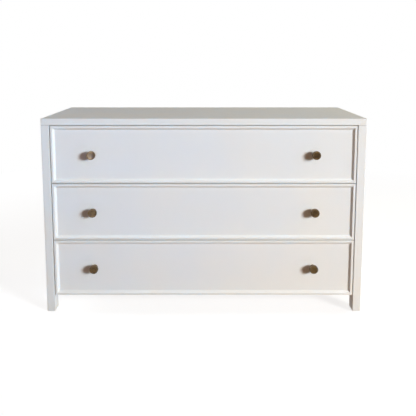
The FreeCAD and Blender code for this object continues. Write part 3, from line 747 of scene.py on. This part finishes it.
@dataclass
class Moulding:
    """The mitred moulding round a drawer front: flat outside, bevelled down to the field inside.

    Sizes are in millimetres: across is from the outer edge inwards, and deep is from the face back.
    """

    drawer: int
    width: float = 16.5
    edge_round: float = 1.5
    edge_steps: int = 9
    flat: float = 8.5
    quirk: float = 0.7
    quirk_round: float = 0.5
    quirk_steps: int = 4
    toe: float = 1.0
    toe_thick: float = 0.3

    def profile(self, thick: float) -> np.ndarray:
        """The section, from the back of the outer edge to the back of the inner edge.

        The outer arris is a quarter circle. A small step, softened by the lacquer, leads from the flat to
        the bevel, which runs straight to a toe that lies almost on the field.

        Args:
            thick: of the moulding, in millimetres.

        Returns:
            Pairs of across and deep.
        """
        r, q = self.edge_round, self.quirk_round
        toe = thick - self.toe_thick
        run = min(self.width - self.flat - self.toe, toe - self.quirk)
        return np.vstack([
            [[0.0, thick]],
            arc((r, r), r, 180, 270, self.edge_steps),
            arc((self.flat - q, q), q, 270, 360, self.quirk_steps),
            [[self.flat, toe - run], [self.flat + run, toe], [self.width, toe], [self.width, thick]],
        ])

    def build(self, palette: Palette) -> None:
        """Carries the section round the front.

        A corner of ring k is the front's own corner, moved inwards by the ring's distance across, so that
        the strips meet on the mitre.

        Args:
            palette: the finishes.
        """
        node = f"drawer_{self.drawer}_moulding"
        low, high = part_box(node)
        field_low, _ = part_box(f"drawer_{self.drawer}_front")
        thick = (field_low.y - low.y) / MM
        profile = self.profile(thick) * MM
        across, deep = profile[:, 0], profile[:, 1]
        centre = (low + high) / 2
        half = (high - low) / 2
        signs = np.array([[-1, -1], [1, -1], [1, 1], [-1, 1]])
        x = centre.x + signs[:, :1] * (half.x - across)
        z = centre.z + signs[:, 1:] * (half.z - across)
        y = np.broadcast_to(low.y + deep, x.shape)
        points = np.stack([x, y, z], axis=-1).transpose(1, 0, 2).reshape(-1, 3)
        faces = grid_faces(len(profile), len(signs), wrap=True)
        front = np.arange(len(signs))
        back = front + (len(profile) - 1) * len(signs)
        seam = np.column_stack([front, back, np.roll(back, -1), np.roll(front, -1)])
        piece = make_piece(f"{node}_sprayed", points, np.vstack([faces, seam]), palette.lacquer)
        stand_in(piece, f"drawer_{self.drawer}", Slot.WHITE_LACQUER, node)


@dataclass
class Knob:
    """A turned knob. Sizes are in millimetres; radii are from its axis, heights from the drawer's field."""

    drawer: int
    side: str
    base_radius: float = 11.0
    base_thick: float = 2.5
    neck_radius: float = 7.0
    fillet: float = 0.6
    cove_margin: float = 1.0
    drum_thick: float = 12.0
    face_radius: float = 14.0
    face_thick: float = 3.0
    dish_radius: float = 10.5
    dish_depth: float = 0.8
    # The dish's floor sinks further towards its middle: shares of its radius, and how much lower it is there.
    dish_floor: tuple[tuple[float, float], ...] = ((0.6, 0.08), (0.25, 0.14), (0.0, 0.15))
    bevel: float = 0.8
    bevel_steps: int = 6
    fillet_steps: int = 4
    cove_steps: int = 14
    roll_steps: int = 9
    dip_steps: int = 8
    segments: int = 72

    def profile(self, radius: float, height: float) -> np.ndarray:
        """Half of the section, from the middle of the back to the middle of the face.

        Straight runs, with a quarter circle at each turned edge and a larger hollow one from neck to drum.
        The rim of the face is a roll: a quarter circle outside, then a quarter ellipse down to the dish.

        Args:
            radius: of the drum.
            height: of the whole knob.

        Returns:
            Pairs of radius and height.
        """
        b, f = self.bevel, self.fillet
        shoulder = height - self.face_thick
        back = shoulder - self.drum_thick
        cove = min(radius - b - self.neck_radius, back - self.base_thick) - self.cove_margin
        dish = height - self.dish_depth
        roll = (self.face_radius - self.dish_radius) / 2
        crest = self.face_radius - roll
        dip = arc((0.0, 0.0), 1.0, 90, 180, self.dip_steps)[1:] * (roll, self.dish_depth) + (crest, dish)
        return np.vstack([
            [[0.0, 0.0], [self.base_radius, 0.0]],
            arc((self.base_radius - b, self.base_thick - b), b, 0, 90, self.bevel_steps),
            arc((self.neck_radius + f, self.base_thick + f), f, 270, 180, self.fillet_steps),
            arc((self.neck_radius + cove, back - cove), cove, 180, 90, self.cove_steps),
            arc((radius - b, back + b), b, 270, 360, self.bevel_steps),
            arc((radius - b, shoulder - b), b, 0, 90, self.bevel_steps),
            [[self.face_radius, shoulder]],
            arc((crest, height - roll), roll, 0, 90, self.roll_steps),
            dip,
            [(share * self.dish_radius, dish - lower) for share, lower in self.dish_floor],
        ])

    def build(self, palette: Palette) -> None:
        """Turns the section about the knob's axis, its heights towards -Y.

        Args:
            palette: the finishes.
        """
        node = f"drawer_{self.drawer}_knob_{self.side}"
        low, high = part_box(node)
        centre = (low + high) / 2
        profile = self.profile((high.x - low.x) / 2 / MM, (high.y - low.y) / MM) * MM
        foot = (centre.x, high.y, centre.z)
        form = turned(profile[:, 0], profile[:, 1], foot, Axis.Y, -1, self.segments)
        piece = make_piece(f"{node}_turned", *form, palette.brass)
        self.centre_uv(piece.data, centre)
        stand_in(piece, f"drawer_{self.drawer}", Slot.AGED_BRASS, node)

    @staticmethod
    def centre_uv(mesh: bpy.types.Mesh, centre: Vector) -> None:
        """Writes each corner's distance across and up from the axis, in metres, into a UV map.

        Args:
            mesh: the knob's mesh.
            centre: a point of the axis.
        """
        places = np.empty(len(mesh.vertices) * 3)
        mesh.vertices.foreach_get("co", places)
        corners = np.empty(len(mesh.loops), dtype=int)
        mesh.loops.foreach_get("vertex_index", corners)
        flat = places.reshape(-1, 3)[corners][:, [0, 2]] - (centre.x, centre.z)
        mesh.uv_layers.new(name="turning").data.foreach_set("uv", flat.ravel())


@dataclass(frozen=True)
class Screw:
    """A pan-head screw with a cross recess. Sizes are in millimetres, heights are from the head's seat.

    Shares are of the head's radius across and of its thickness along, and the tip's length is in radii.
    """

    radius: float
    length: float
    head_radius: float
    head_thick: float
    tip: float = 1.5
    edge_share: float = 0.3
    flat_share: float = 0.5
    crown_steps: int = 7
    recess_wide: float = 0.48
    recess_narrow: float = 0.15
    recess_power: int = 3
    recess_taper: float = 0.6
    recess_depth: float = 0.6
    segments: int = 48

    def form(self, seat: tuple[float, float, float], out: Axis, sign: int, phase: float) -> Form:
        """Tip, shank, head and recess as one turned surface.

        The crown is a quarter ellipse. The rim of the recess is a rosette: its radius swings from narrow to
        wide with a power of the cosine of twice the turn, and its floor is the same rosette, smaller.

        Args:
            seat: the middle of the head's underside, in metres.
            out: the screw's axis.
            sign: 1 if the head looks along the axis, -1 if against it.
            phase: how far the recess is turned, in radians.

        Returns:
            The screw.
        """
        edge = self.head_thick * self.edge_share
        flat = self.head_radius * self.flat_share
        crown = arc((0.0, 0.0), 1.0, 0, 90, self.crown_steps)
        rows = np.vstack([
            [[0.0, -self.length], [self.radius, self.tip * self.radius - self.length], [self.radius, 0.0],
             [self.head_radius, 0.0]],
            crown * (self.head_radius - flat, self.head_thick - edge) + (flat, edge),
        ])
        turn = np.linspace(0, 2 * math.pi, self.segments, endpoint=False) - phase
        swing = np.abs(np.cos(2 * turn)) ** self.recess_power
        rim = self.head_radius * (self.recess_narrow + (self.recess_wide - self.recess_narrow) * swing)
        radius = np.vstack([np.outer(rows[:, 0], np.ones_like(turn)), rim, self.recess_taper * rim, 0 * rim])
        floor = self.head_thick * (1 - self.recess_depth)
        height = np.concatenate([rows[:, 1], [self.head_thick, floor, floor]])
        return turned(radius * MM, height * MM, seat, out, sign, self.segments)


@dataclass(frozen=True)
class SlideMember:
    """A member of a telescopic slide, rolled from strip. Sizes are in millimetres.

    In its section, across runs from the back of the web towards the mouth, and up from the lower edge.
    Slots are given by how far their middles are from the front.
    """

    part: str
    mouth: Mouth
    groove: Groove
    start: float
    rise: float
    reach: float
    slots: tuple[float, ...]
    slot_radius: float
    slot_half: float
    ball_across: float = 0.0
    sheet: float = 1.2
    bend: float = 2.0
    bend_steps: int = 7
    race: float = 3.6
    hug_degrees: float = 40.0
    hug_steps: int = 11
    slot_margin: float = 2.0
    # How fast an outline crosses from one end of a slot to the other, against the turn.
    slot_snap: float = 6.0
    web_steps: int = 4

    def flange(self) -> np.ndarray:
        """Middle line of the lower flange, from the web to its free edge.

        A quarter circle leads out of the web. A flange with a groove ends in an arc about the middle of its
        balls, and one without runs on straight.

        Returns:
            Pairs of across and up.
        """
        half = self.sheet / 2
        turn = arc((self.bend, self.bend), self.bend - half, 180, 270, self.bend_steps)
        if self.groove is Groove.NONE:
            return np.vstack([turn, [[self.reach, half]]])
        hug = self.race / 2 + half
        swing = np.radians(np.linspace(-self.hug_degrees, self.hug_degrees, self.hug_steps))
        groove = np.column_stack([self.ball_across + hug * np.sin(swing),
                                  half + self.groove.value * hug * (1 - np.cos(swing))])
        return np.vstack([turn, groove])

    def section(self, height: float) -> np.ndarray:
        """Middle line of the whole section: lower flange, web in even steps, and upper flange.

        Args:
            height: of the section.

        Returns:
            Pairs of across and up.
        """
        lower = self.flange()
        upper = lower * (1, -1) + (0, height)
        web = np.linspace(lower[0], upper[0], self.web_steps + 1)[1:-1]
        return np.vstack([lower[::-1], web, upper])

    def slot_outline(self, border: np.ndarray) -> np.ndarray:
        """Points of a slot, one for each point of the border of its panel.

        A point is the panel's middle plus the radius times the cosine and sine of the turn, moved along by
        half of the slot's straight run, to the side that it is on.

        Args:
            border: the panel's border, one point a row: across, up and along.

        Returns:
            The outline, in the same order.
        """
        low, high = border.min(axis=0), border.max(axis=0)
        middle = (low + high) / 2
        up, along = ((border - middle)[:, 1:] / (high - low)[1:]).T
        turn = np.arctan2(up, along)
        side = np.clip(self.slot_snap * np.cos(turn), -1, 1)
        rim = np.tile(middle, (len(border), 1))
        rim[:, 1] += self.slot_radius * np.sin(turn)
        rim[:, 2] += self.slot_radius * np.cos(turn) + self.slot_half * side
        return rim

    def form(self, height: float, length: float) -> Form:
        """The member's middle surface, with its slots.

        A point of the grid is a point of the section, carried along the member. Where a slot lies, the web's
        cells give way to a ring between their border and the slot's outline.

        Args:
            height: of the section.
            length: of the member.

        Returns:
            The surface, its points as across, up and along.
        """
        steps = self.web_steps
        half = self.slot_radius + self.slot_half + self.slot_margin
        panels = [place + np.linspace(-half, half, steps + 1) for place in self.slots]
        section, along = self.section(height), np.concatenate([[0.0], *panels, [length]])
        rows, columns = len(section), len(along)
        points = np.empty((rows, columns, 3))
        points[..., :2] = section[:, None]
        points[..., 2] = along
        points = points.reshape(-1, 3)
        index = np.arange(rows * columns).reshape(rows, columns)
        cells = grid_faces(rows, columns, wrap=False).reshape(rows - 1, columns - 1, 4)
        kept = np.ones((rows - 1, columns - 1), dtype=bool)
        row = len(self.flange()) - 1
        rims, rings = [], []
        for number in range(len(self.slots)):
            column = 1 + number * (steps + 1)
            kept[row:row + steps, column:column + steps] = False
            border = np.concatenate([index[row, column:column + steps],
                                     index[row:row + steps, column + steps],
                                     index[row + steps, column + steps:column:-1],
                                     index[row + steps:row:-1, column]])
            rim = len(points) + number * len(border) + np.arange(len(border))
            rims.append(self.slot_outline(points[border]))
            rings.append(np.column_stack([border, np.roll(border, -1), np.roll(rim, -1), rim]))
        used, faces = np.unique(np.vstack([cells[kept], *rings]), return_inverse=True)
        return np.vstack([points, *rims])[used], faces.reshape(-1, 4)

    def build(self, drawer: int, low: Vector, high: Vector, material: bpy.types.Material) -> bpy.types.Object:
        """Makes the member of both sides.

        Args:
            drawer: the drawer's number.
            low: lowest corner of the slides' own box, which the outer members fill.
            high: its highest corner.
            material: the finish.

        Returns:
            The piece.
        """
        node = f"drawer_{drawer}_slide_{self.part}"
        front, back = (corner.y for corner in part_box(node))
        points, faces = self.form((high.z - low.z) / MM - 2 * self.rise, (back - front) / MM)
        across, up, along = (points * MM).T
        x = high.x - self.start * MM - self.mouth.value * across
        z = low.z + self.rise * MM + up
        sides = [(np.column_stack([side * x, front + along, z]), faces) for side in (-1, 1)]
        piece = make_piece(f"{node}_rolled", *joined(sides), material)
        thicken(piece, self.sheet)
        return piece


@dataclass
class Slides:
    """The two telescopic slides of a drawer: rolled members, and caged balls in the races between them.

    Sizes are in millimetres. Across is from the case towards the drawer box, up from the slides' foot.
    """

    drawer: int
    length: float = 400.0
    space: float = 13.0
    # From one member's edge to the next one's.
    step: float = SlideMember.sheet + SlideMember.race
    ball_across: float = 7.5
    ball_radius: float = 1.55
    ball_pitch: float = 10.0
    ball_rows: int = 7
    ball_segments: int = 8
    ball_crease: float = 80.0
    cage_width: float = 4.0
    cage_bend: float = 0.4
    cage_lip: float = 0.7
    cage_sheet: float = 0.5
    cage_length: float = 180.0
    cage_inset: float = 4.0
    screw_end: float = 60.0
    # In radians a metre, so that no two recesses stand alike.
    screw_turn: float = 9.0
    screw: Screw = Screw(radius=1.75, length=10.0, head_radius=3.5, head_thick=1.4)

    def members(self) -> dict[str, SlideMember]:
        """Lists the members.

        Returns:
            Each member, by the body that it rides on.
        """
        outer = SlideMember("outer", Mouth.INWARDS, Groove.INSIDE, start=0.0, rise=0.0, reach=9.5,
                            slots=(100.0, 200.0, 300.0), slot_radius=2.3, slot_half=3.0,
                            ball_across=self.ball_across)
        middle = SlideMember("middle", Mouth.INWARDS, Groove.NONE, start=3.2, rise=self.step, reach=7.7,
                             slots=(self.screw_end, self.length - self.screw_end), slot_radius=5.0,
                             slot_half=0.0)
        inner = SlideMember("inner", Mouth.OUTWARDS, Groove.OUTSIDE, start=self.space, rise=2 * self.step,
                            reach=7.5, slots=(100.0, 300.0), slot_radius=2.3, slot_half=3.0,
                            ball_across=self.space - self.ball_across)
        return {"carcass": outer, f"slide_{self.drawer}": middle, f"drawer_{self.drawer}": inner}

    def races(self, low: Vector, high: Vector) -> list[tuple[float, float]]:
        """Finds the cages of a slide.

        The outer pair lies towards the back of the middle member and the inner pair towards its front, where
        the members still overlap with the drawer right out.

        Args:
            low: lowest corner of the slides' own box.
            high: its highest corner.

        Returns:
            Height and front end of each of the four cages, in metres.
        """
        front, back = (corner.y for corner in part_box(f"drawer_{self.drawer}_slide_middle"))
        outer_rise = (SlideMember.sheet + SlideMember.race / 2) * MM
        inner_rise = outer_rise + self.step * MM
        outer_start = back - (self.cage_inset + self.cage_length) * MM
        inner_start = front + self.cage_inset * MM
        return [(low.z + outer_rise, outer_start), (high.z - outer_rise, outer_start),
                (low.z + inner_rise, inner_start), (high.z - inner_rise, inner_start)]

    def cages(self, low: Vector, high: Vector) -> Form:
        """Carries a strip with both edges bent up along each race.

        Args:
            low: lowest corner of the slides' own box.
            high: its highest corner.

        Returns:
            The cages of both sides.
        """
        half, flat = self.cage_width / 2, self.cage_width / 2 - self.cage_bend
        section = np.array([[-half, self.cage_lip], [-flat, 0.0], [flat, 0.0], [half, self.cage_lip]])
        across, up = (section * MM).T[..., None]
        middle = high.x - self.ball_across * MM
        ends = np.array([0.0, self.cage_length * MM])
        faces = grid_faces(len(section), len(ends), wrap=False)
        forms = []
        for height, start in self.races(low, high):
            for side in (-1, 1):
                grid = np.broadcast_arrays(side * (middle + across), start + ends, height + up)
                forms.append((np.stack(grid, axis=-1).reshape(-1, 3), faces))
        return joined(forms)

    def balls(self, low: Vector, high: Vector) -> Form:
        """Sets the same small sphere at even steps along each cage.

        Args:
            low: lowest corner of the slides' own box.
            high: its highest corner.

        Returns:
            The balls of both sides.
        """
        angle = np.linspace(0, math.pi, self.ball_rows)
        radius = self.ball_radius * MM
        sphere, faces = turned(radius * np.sin(angle), -radius * np.cos(angle), (0.0, 0.0, 0.0), Axis.Z, 1,
                               self.ball_segments)
        along = np.arange(self.ball_pitch / 2, self.cage_length, self.ball_pitch) * MM
        middle = high.x - self.ball_across * MM
        rows = [np.column_stack(np.broadcast_arrays(side * middle, start + along, height))
                for height, start in self.races(low, high) for side in (-1, 1)]
        places = np.vstack(rows)
        points = (places[:, None] + sphere).reshape(-1, 3)
        faces = np.arange(len(places))[:, None, None] * len(sphere) + faces
        return points, faces.reshape(-1, 4)

    def screws(self, part: str) -> list[Form]:
        """Drives the screws through the webs of the outer members, heads inwards, or of the inner, outwards.

        Args:
            part: "outer" or "inner".

        Returns:
            The screws of both sides.
        """
        low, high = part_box(f"drawer_{self.drawer}_slide_{part}")
        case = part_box(f"drawer_{self.drawer}_slide_outer")[1].x
        sheet = SlideMember.sheet
        web = case - (sheet if part == "outer" else self.space - sheet) * MM
        way = -1 if part == "outer" else 1
        end = self.screw_end * MM
        return [self.screw.form((side * web, y, (low.z + high.z) / 2), Axis.X, side * way,
                                self.screw_turn * y + side)
                for side in (-1, 1) for y in (low.y + end, high.y - end)]

    def build(self, palette: Palette) -> None:
        """Makes the members, the cages and the balls.

        Args:
            palette: the finishes.
        """
        name = f"drawer_{self.drawer}_slide"
        low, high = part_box(f"{name}_outer")
        for body, member in self.members().items():
            piece = member.build(self.drawer, low, high, palette.zinc)
            stand_in(piece, body, Slot.SLIDE_STEEL, f"{name}_{member.part}")
        cages = make_piece(f"{name}_cages", *self.cages(low, high), palette.zinc)
        thicken(cages, self.cage_sheet)
        balls = make_piece(f"{name}_balls", *self.balls(low, high), palette.ball_steel, self.ball_crease)
        for piece in (cages, balls):
            stand_in(piece, f"slide_{self.drawer}", Slot.SLIDE_STEEL, f"{name}_middle")


@dataclass
class Drawer:
    """A drawer: its front, moulding, knobs, plywood box, screws and slides."""

    number: int
    knob_screw: Screw = Screw(radius=2.0, length=41.0, head_radius=4.5, head_thick=2.5)
    # In radians a metre, so that no two recesses stand alike.
    knob_screw_turn: float = 2.0

    def build(self, palette: Palette) -> None:
        """Dresses the boards and makes the other pieces.

        Args:
            palette: the finishes.
        """
        name = f"drawer_{self.number}"
        finishes = {
            "front": palette.lacquer, "side_left": palette.wall_ply, "side_right": palette.wall_ply,
            "box_front": palette.end_ply, "box_back": palette.end_ply, "bottom": palette.bottom_ply,
        }
        for part, finish in finishes.items():
            finish_node(f"{name}_{part}", finish)
        Moulding(self.number).build(palette)
        for side in SIDES:
            Knob(self.number, side).build(palette)
        slides = Slides(self.number)
        slides.build(palette)
        forms = self.knob_screws() + slides.screws("inner")
        screws = make_piece(f"{name}_screws_driven", *joined(forms), palette.yellow_zinc)
        stand_in(screws, name, Slot.SCREW_STEEL, f"{name}_screws")

    def knob_screws(self) -> list[Form]:
        """Drives the machine screws through the box and the front into the knobs.

        Returns:
            The screws.
        """
        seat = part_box(f"drawer_{self.number}_box_front")[1].y
        forms = []
        for side in SIDES:
            low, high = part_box(f"drawer_{self.number}_knob_{side}")
            place = ((low.x + high.x) / 2, seat, (low.z + high.z) / 2)
            forms.append(self.knob_screw.form(place, Axis.Y, 1, self.knob_screw_turn * low.x + low.z))
        return forms


@dataclass
class Glide:
    """A nail-on glide: a turned nylon pad with a softened foot.

    Sizes are in millimetres, and the length of the nail's tip is in its radii.
    """

    radius: float = 11.0
    soften: float = 1.4
    soften_steps: int = 8
    nail_radius: float = 1.2
    nail_length: float = 12.0
    nail_tip: float = 2.0
    segments: int = 48

    def form(self, post: str) -> Form:
        """Turns the pad and the nail that holds it: heights are from the post's end, downwards.

        Args:
            post: the node of the post that the glide is under.

        Returns:
            The glide.
        """
        low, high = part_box(post)
        thick = low.z / MM
        nail, length = self.nail_radius, self.nail_length
        profile = np.vstack([
            [[0.0, -length], [nail, self.nail_tip * nail - length], [nail, 0.0], [self.radius, 0.0]],
            arc((self.radius - self.soften, thick - self.soften), self.soften, 0, 90, self.soften_steps),
            [[0.0, thick]],
        ]) * MM
        seat = ((low.x + high.x) / 2, (low.y + high.y) / 2, low.z)
        return turned(profile[:, 0], profile[:, 1], seat, Axis.Z, -1, self.segments)


@dataclass
class Case:
    """The case: top, posts, side and back frames, rails, cleats, glides and screws."""

    top_screws: int = 4
    top_screw_end: float = 85.0
    top_screw: Screw = Screw(radius=2.0, length=30.0, head_radius=4.0, head_thick=2.5)
    # In radians a metre, so that no two recesses stand alike.
    top_screw_turn: float = 7.0

    def build(self, palette: Palette) -> None:
        """Dresses every board that doesn't move, and makes the glides and the screws.

        Args:
            palette: the finishes.
        """
        for node in frame["record"]["behaviour"]["bodies"]["carcass"]:
            if not node.endswith(("slide_outer", "glides", "screws")):
                finish_node(node, palette.beech if node == "slide_cleats" else palette.lacquer)
        forms = [Glide().form(f"{end}_post_{side}") for end in ("front", "back") for side in SIDES]
        glides = make_piece("foot_glides_moulded", *joined(forms), palette.nylon)
        stand_in(glides, "carcass", Slot.GLIDE_NYLON, "foot_glides")
        forms = self.screws_under_top()
        for number in DRAWERS:
            forms += Slides(number).screws("outer")
        screws = make_piece("case_screws_driven", *joined(forms), palette.yellow_zinc)
        stand_in(screws, "carcass", Slot.SCREW_STEEL, "case_screws")

    def screws_under_top(self) -> list[Form]:
        """Drives two rows of screws, heads down, evenly spaced in the middle of the rails that hold the top.

        Returns:
            The screws.
        """
        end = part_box("front_post_right")[0].x - self.top_screw_end * MM
        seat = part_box("top_front_rail")[0].z
        rails = [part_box(rail) for rail in ("top_front_rail", "top_back_rail")]
        return [self.top_screw.form((x, (low.y + high.y) / 2, seat), Axis.Z, -1, self.top_screw_turn * x)
                for low, high in rails for x in np.linspace(-end, end, self.top_screws)]


# ---------------------------------------------------------------- the studio


@dataclass
class Lamp:
    """A soft box that looks at a point of the chest, with its spread in degrees.

    Reflections show it if it is mirrored, and it lights what is matt if it is diffused.
    """

    name: str
    place: tuple[float, float, float]
    watts: float
    size: tuple[float, float]
    colour: str
    mirrored: bool = False
    spread: float = 180.0
    diffused: bool = True
    target: tuple[float, float, float] = (0.0, -0.2, 0.4)

    def build(self) -> None:
        """Hangs the lamp."""
        data = bpy.data.lights.new(self.name, "AREA")
        data.shape = "RECTANGLE"
        data.size, data.size_y = self.size
        data.energy = self.watts
        data.spread = math.radians(self.spread)
        data.color = linear(self.colour)[:3]
        lamp = bpy.data.objects.new(self.name, data)
        lamp.location = self.place
        direction = Vector(self.target) - Vector(self.place)
        lamp.rotation_euler = direction.to_track_quat("-Z", "Y").to_euler()
        lamp.visible_camera = False
        lamp.visible_glossy = self.mirrored
        lamp.visible_diffuse = self.diffused
        bpy.context.scene.collection.objects.link(lamp)


@dataclass
class Studio:
    """Floor, world, lamps and camera."""

    floor_half: float = 30.0
    floor_points: int = 9
    floor_glow: float = 0.8
    floor_shade: float = 0.4
    floor_bounce: str = "#ab8760"
    fade: Span = (1.2, 3.0)
    ambient: str = "#ffb36a"
    ambient_strength: float = 0.07
    backdrop: str = "#ffffff"
    lens_mm: float = 49.8
    sensor_mm: float = 36.0
    pitch_degrees: float = 7.4
    shift_up: float = -0.183
    eye: tuple[float, float, float] = (0.016, -2.330, 0.969)

    def build(self) -> None:
        """Sets the stage."""
        self.make_floor()
        self.light_world()
        for lamp in self.lamps():
            lamp.build()
        self.make_camera()

    @staticmethod
    def lamps() -> list[Lamp]:
        """Lists the lamps.

        Returns:
            A key from the right with two tints in its beam, fills from the other sides, and glints.
        """
        window = (5.0, -4.9, 2.1)
        pane = (1.8, 1.6)
        return [
            Lamp("key", window, 500.0, pane, "#fffffc"),
            Lamp("cool_beam", window, 4.8, pane, "#00b5ff", spread=24.0, target=(-1.0, -0.2, 0.75)),
            Lamp("warm_beam", window, 0.9, pane, "#ffc000", spread=24.0, target=(0.9, -0.2, -0.1)),
            Lamp("top_fill", (1.7, 0.8, 1.7), 7.4, (1.2, 0.9), "#fbfcc8", target=(0.0, 0.0, 0.7)),
            Lamp("back_fill", (-4.0, 4.6, 1.0), 340.0, (3.0, 1.6), "#f4f9ff"),
            Lamp("left_fill", (-3.5, -4.0, 1.0), 6.0, (2.5, 2.0), "#ebf5ff"),
            Lamp("ceiling", (0.0, -1.2, 2.9), 130.0, (3.4, 1.6), "#fffdf8", mirrored=True, diffused=False),
            Lamp("gleam", (2.6, -3.0, 3.2), 30.0, (0.8, 0.8), "#fffaf2", mirrored=True, diffused=False),
            Lamp("glint", (-1.05, -3.2, 0.42), 48.0, (0.5, 0.35), "#a6bfff", mirrored=True, diffused=False),
        ]

    @staticmethod
    def seen(tree: Tree) -> Node:
        """Tells what the eye sees directly, in a mirror or through glass from light on its way.

        Args:
            tree: the node tree.

        Returns:
            The node that gives 1 for the first and 0 for the second.
        """
        path = add(tree, "LightPath").outputs
        either = add(tree, "Math", path["Is Camera Ray"], path["Is Glossy Ray"], operation="MAXIMUM")
        return add(tree, "Math", either, path["Is Transmission Ray"], operation="MAXIMUM")

    def make_floor(self) -> None:
        """Lays a pale floor that keeps the chest's shadow and fades into white further off."""
        material = bpy.data.materials.new("studio_floor")
        tree = emptied(material)
        away = add(tree, "VectorMath", add(tree, "TexCoord").outputs["Object"], operation="LENGTH")
        near = add(tree, "MapRange", away, *self.fade, 1.0, 0.0)
        shade = add(tree, "Math", near, self.floor_shade, operation="MULTIPLY")
        tint = add(tree, "CombineColor", shade, shade, shade)
        strength = add(tree, "MapRange", near, 0.0, 1.0, 1.0, self.floor_glow)
        glow = add(tree, "Emission", inputs={"Strength": strength})
        shown = add(tree, "AddShader", glow, add(tree, "BsdfDiffuse", tint))
        bounce = add(tree, "BsdfDiffuse", linear(self.floor_bounce))
        add(tree, "OutputMaterial", add(tree, "MixShader", self.seen(tree), bounce, shown))
        steps = np.linspace(-self.floor_half, self.floor_half, self.floor_points)
        x, y = np.meshgrid(steps, steps)
        points = np.stack([x, y, np.zeros_like(x)], axis=-1).reshape(-1, 3)
        make_piece("floor", points, grid_faces(*x.shape, wrap=False), material)

    def light_world(self) -> None:
        """Fills the world with a dim even light, behind a background that shows as white."""
        world = bpy.data.worlds.new("studio")
        tree = emptied(world)
        dim = add(tree, "Background", linear(self.ambient), self.ambient_strength)
        white = add(tree, "Background", linear(self.backdrop), 1.0)
        add(tree, "OutputWorld", add(tree, "MixShader", self.seen(tree), dim, white))
        bpy.context.scene.world = world

    def make_camera(self) -> None:
        """Stands the camera a little above the top, tilted down and shifted to centre the chest."""
        data = bpy.data.cameras.new("camera")
        data.lens = self.lens_mm
        data.sensor_width = self.sensor_mm
        data.shift_y = self.shift_up
        camera = bpy.data.objects.new("camera", data)
        camera.location = self.eye
        camera.rotation_euler = (math.radians(90 - self.pitch_degrees), 0.0, 0.0)
        bpy.context.scene.collection.objects.link(camera)
        bpy.context.scene.camera = camera
        bpy.context.scene.view_settings.view_transform = "Standard"


def main() -> None:
    """Builds the chest and its studio."""
    logging.basicConfig(level=logging.INFO, format="%(message)s")
    palette = Palette.mix()
    Case().build(palette)
    for number in DRAWERS:
        Drawer(number).build(palette)
    Studio().build()


if __name__ == "__main__":
    main()
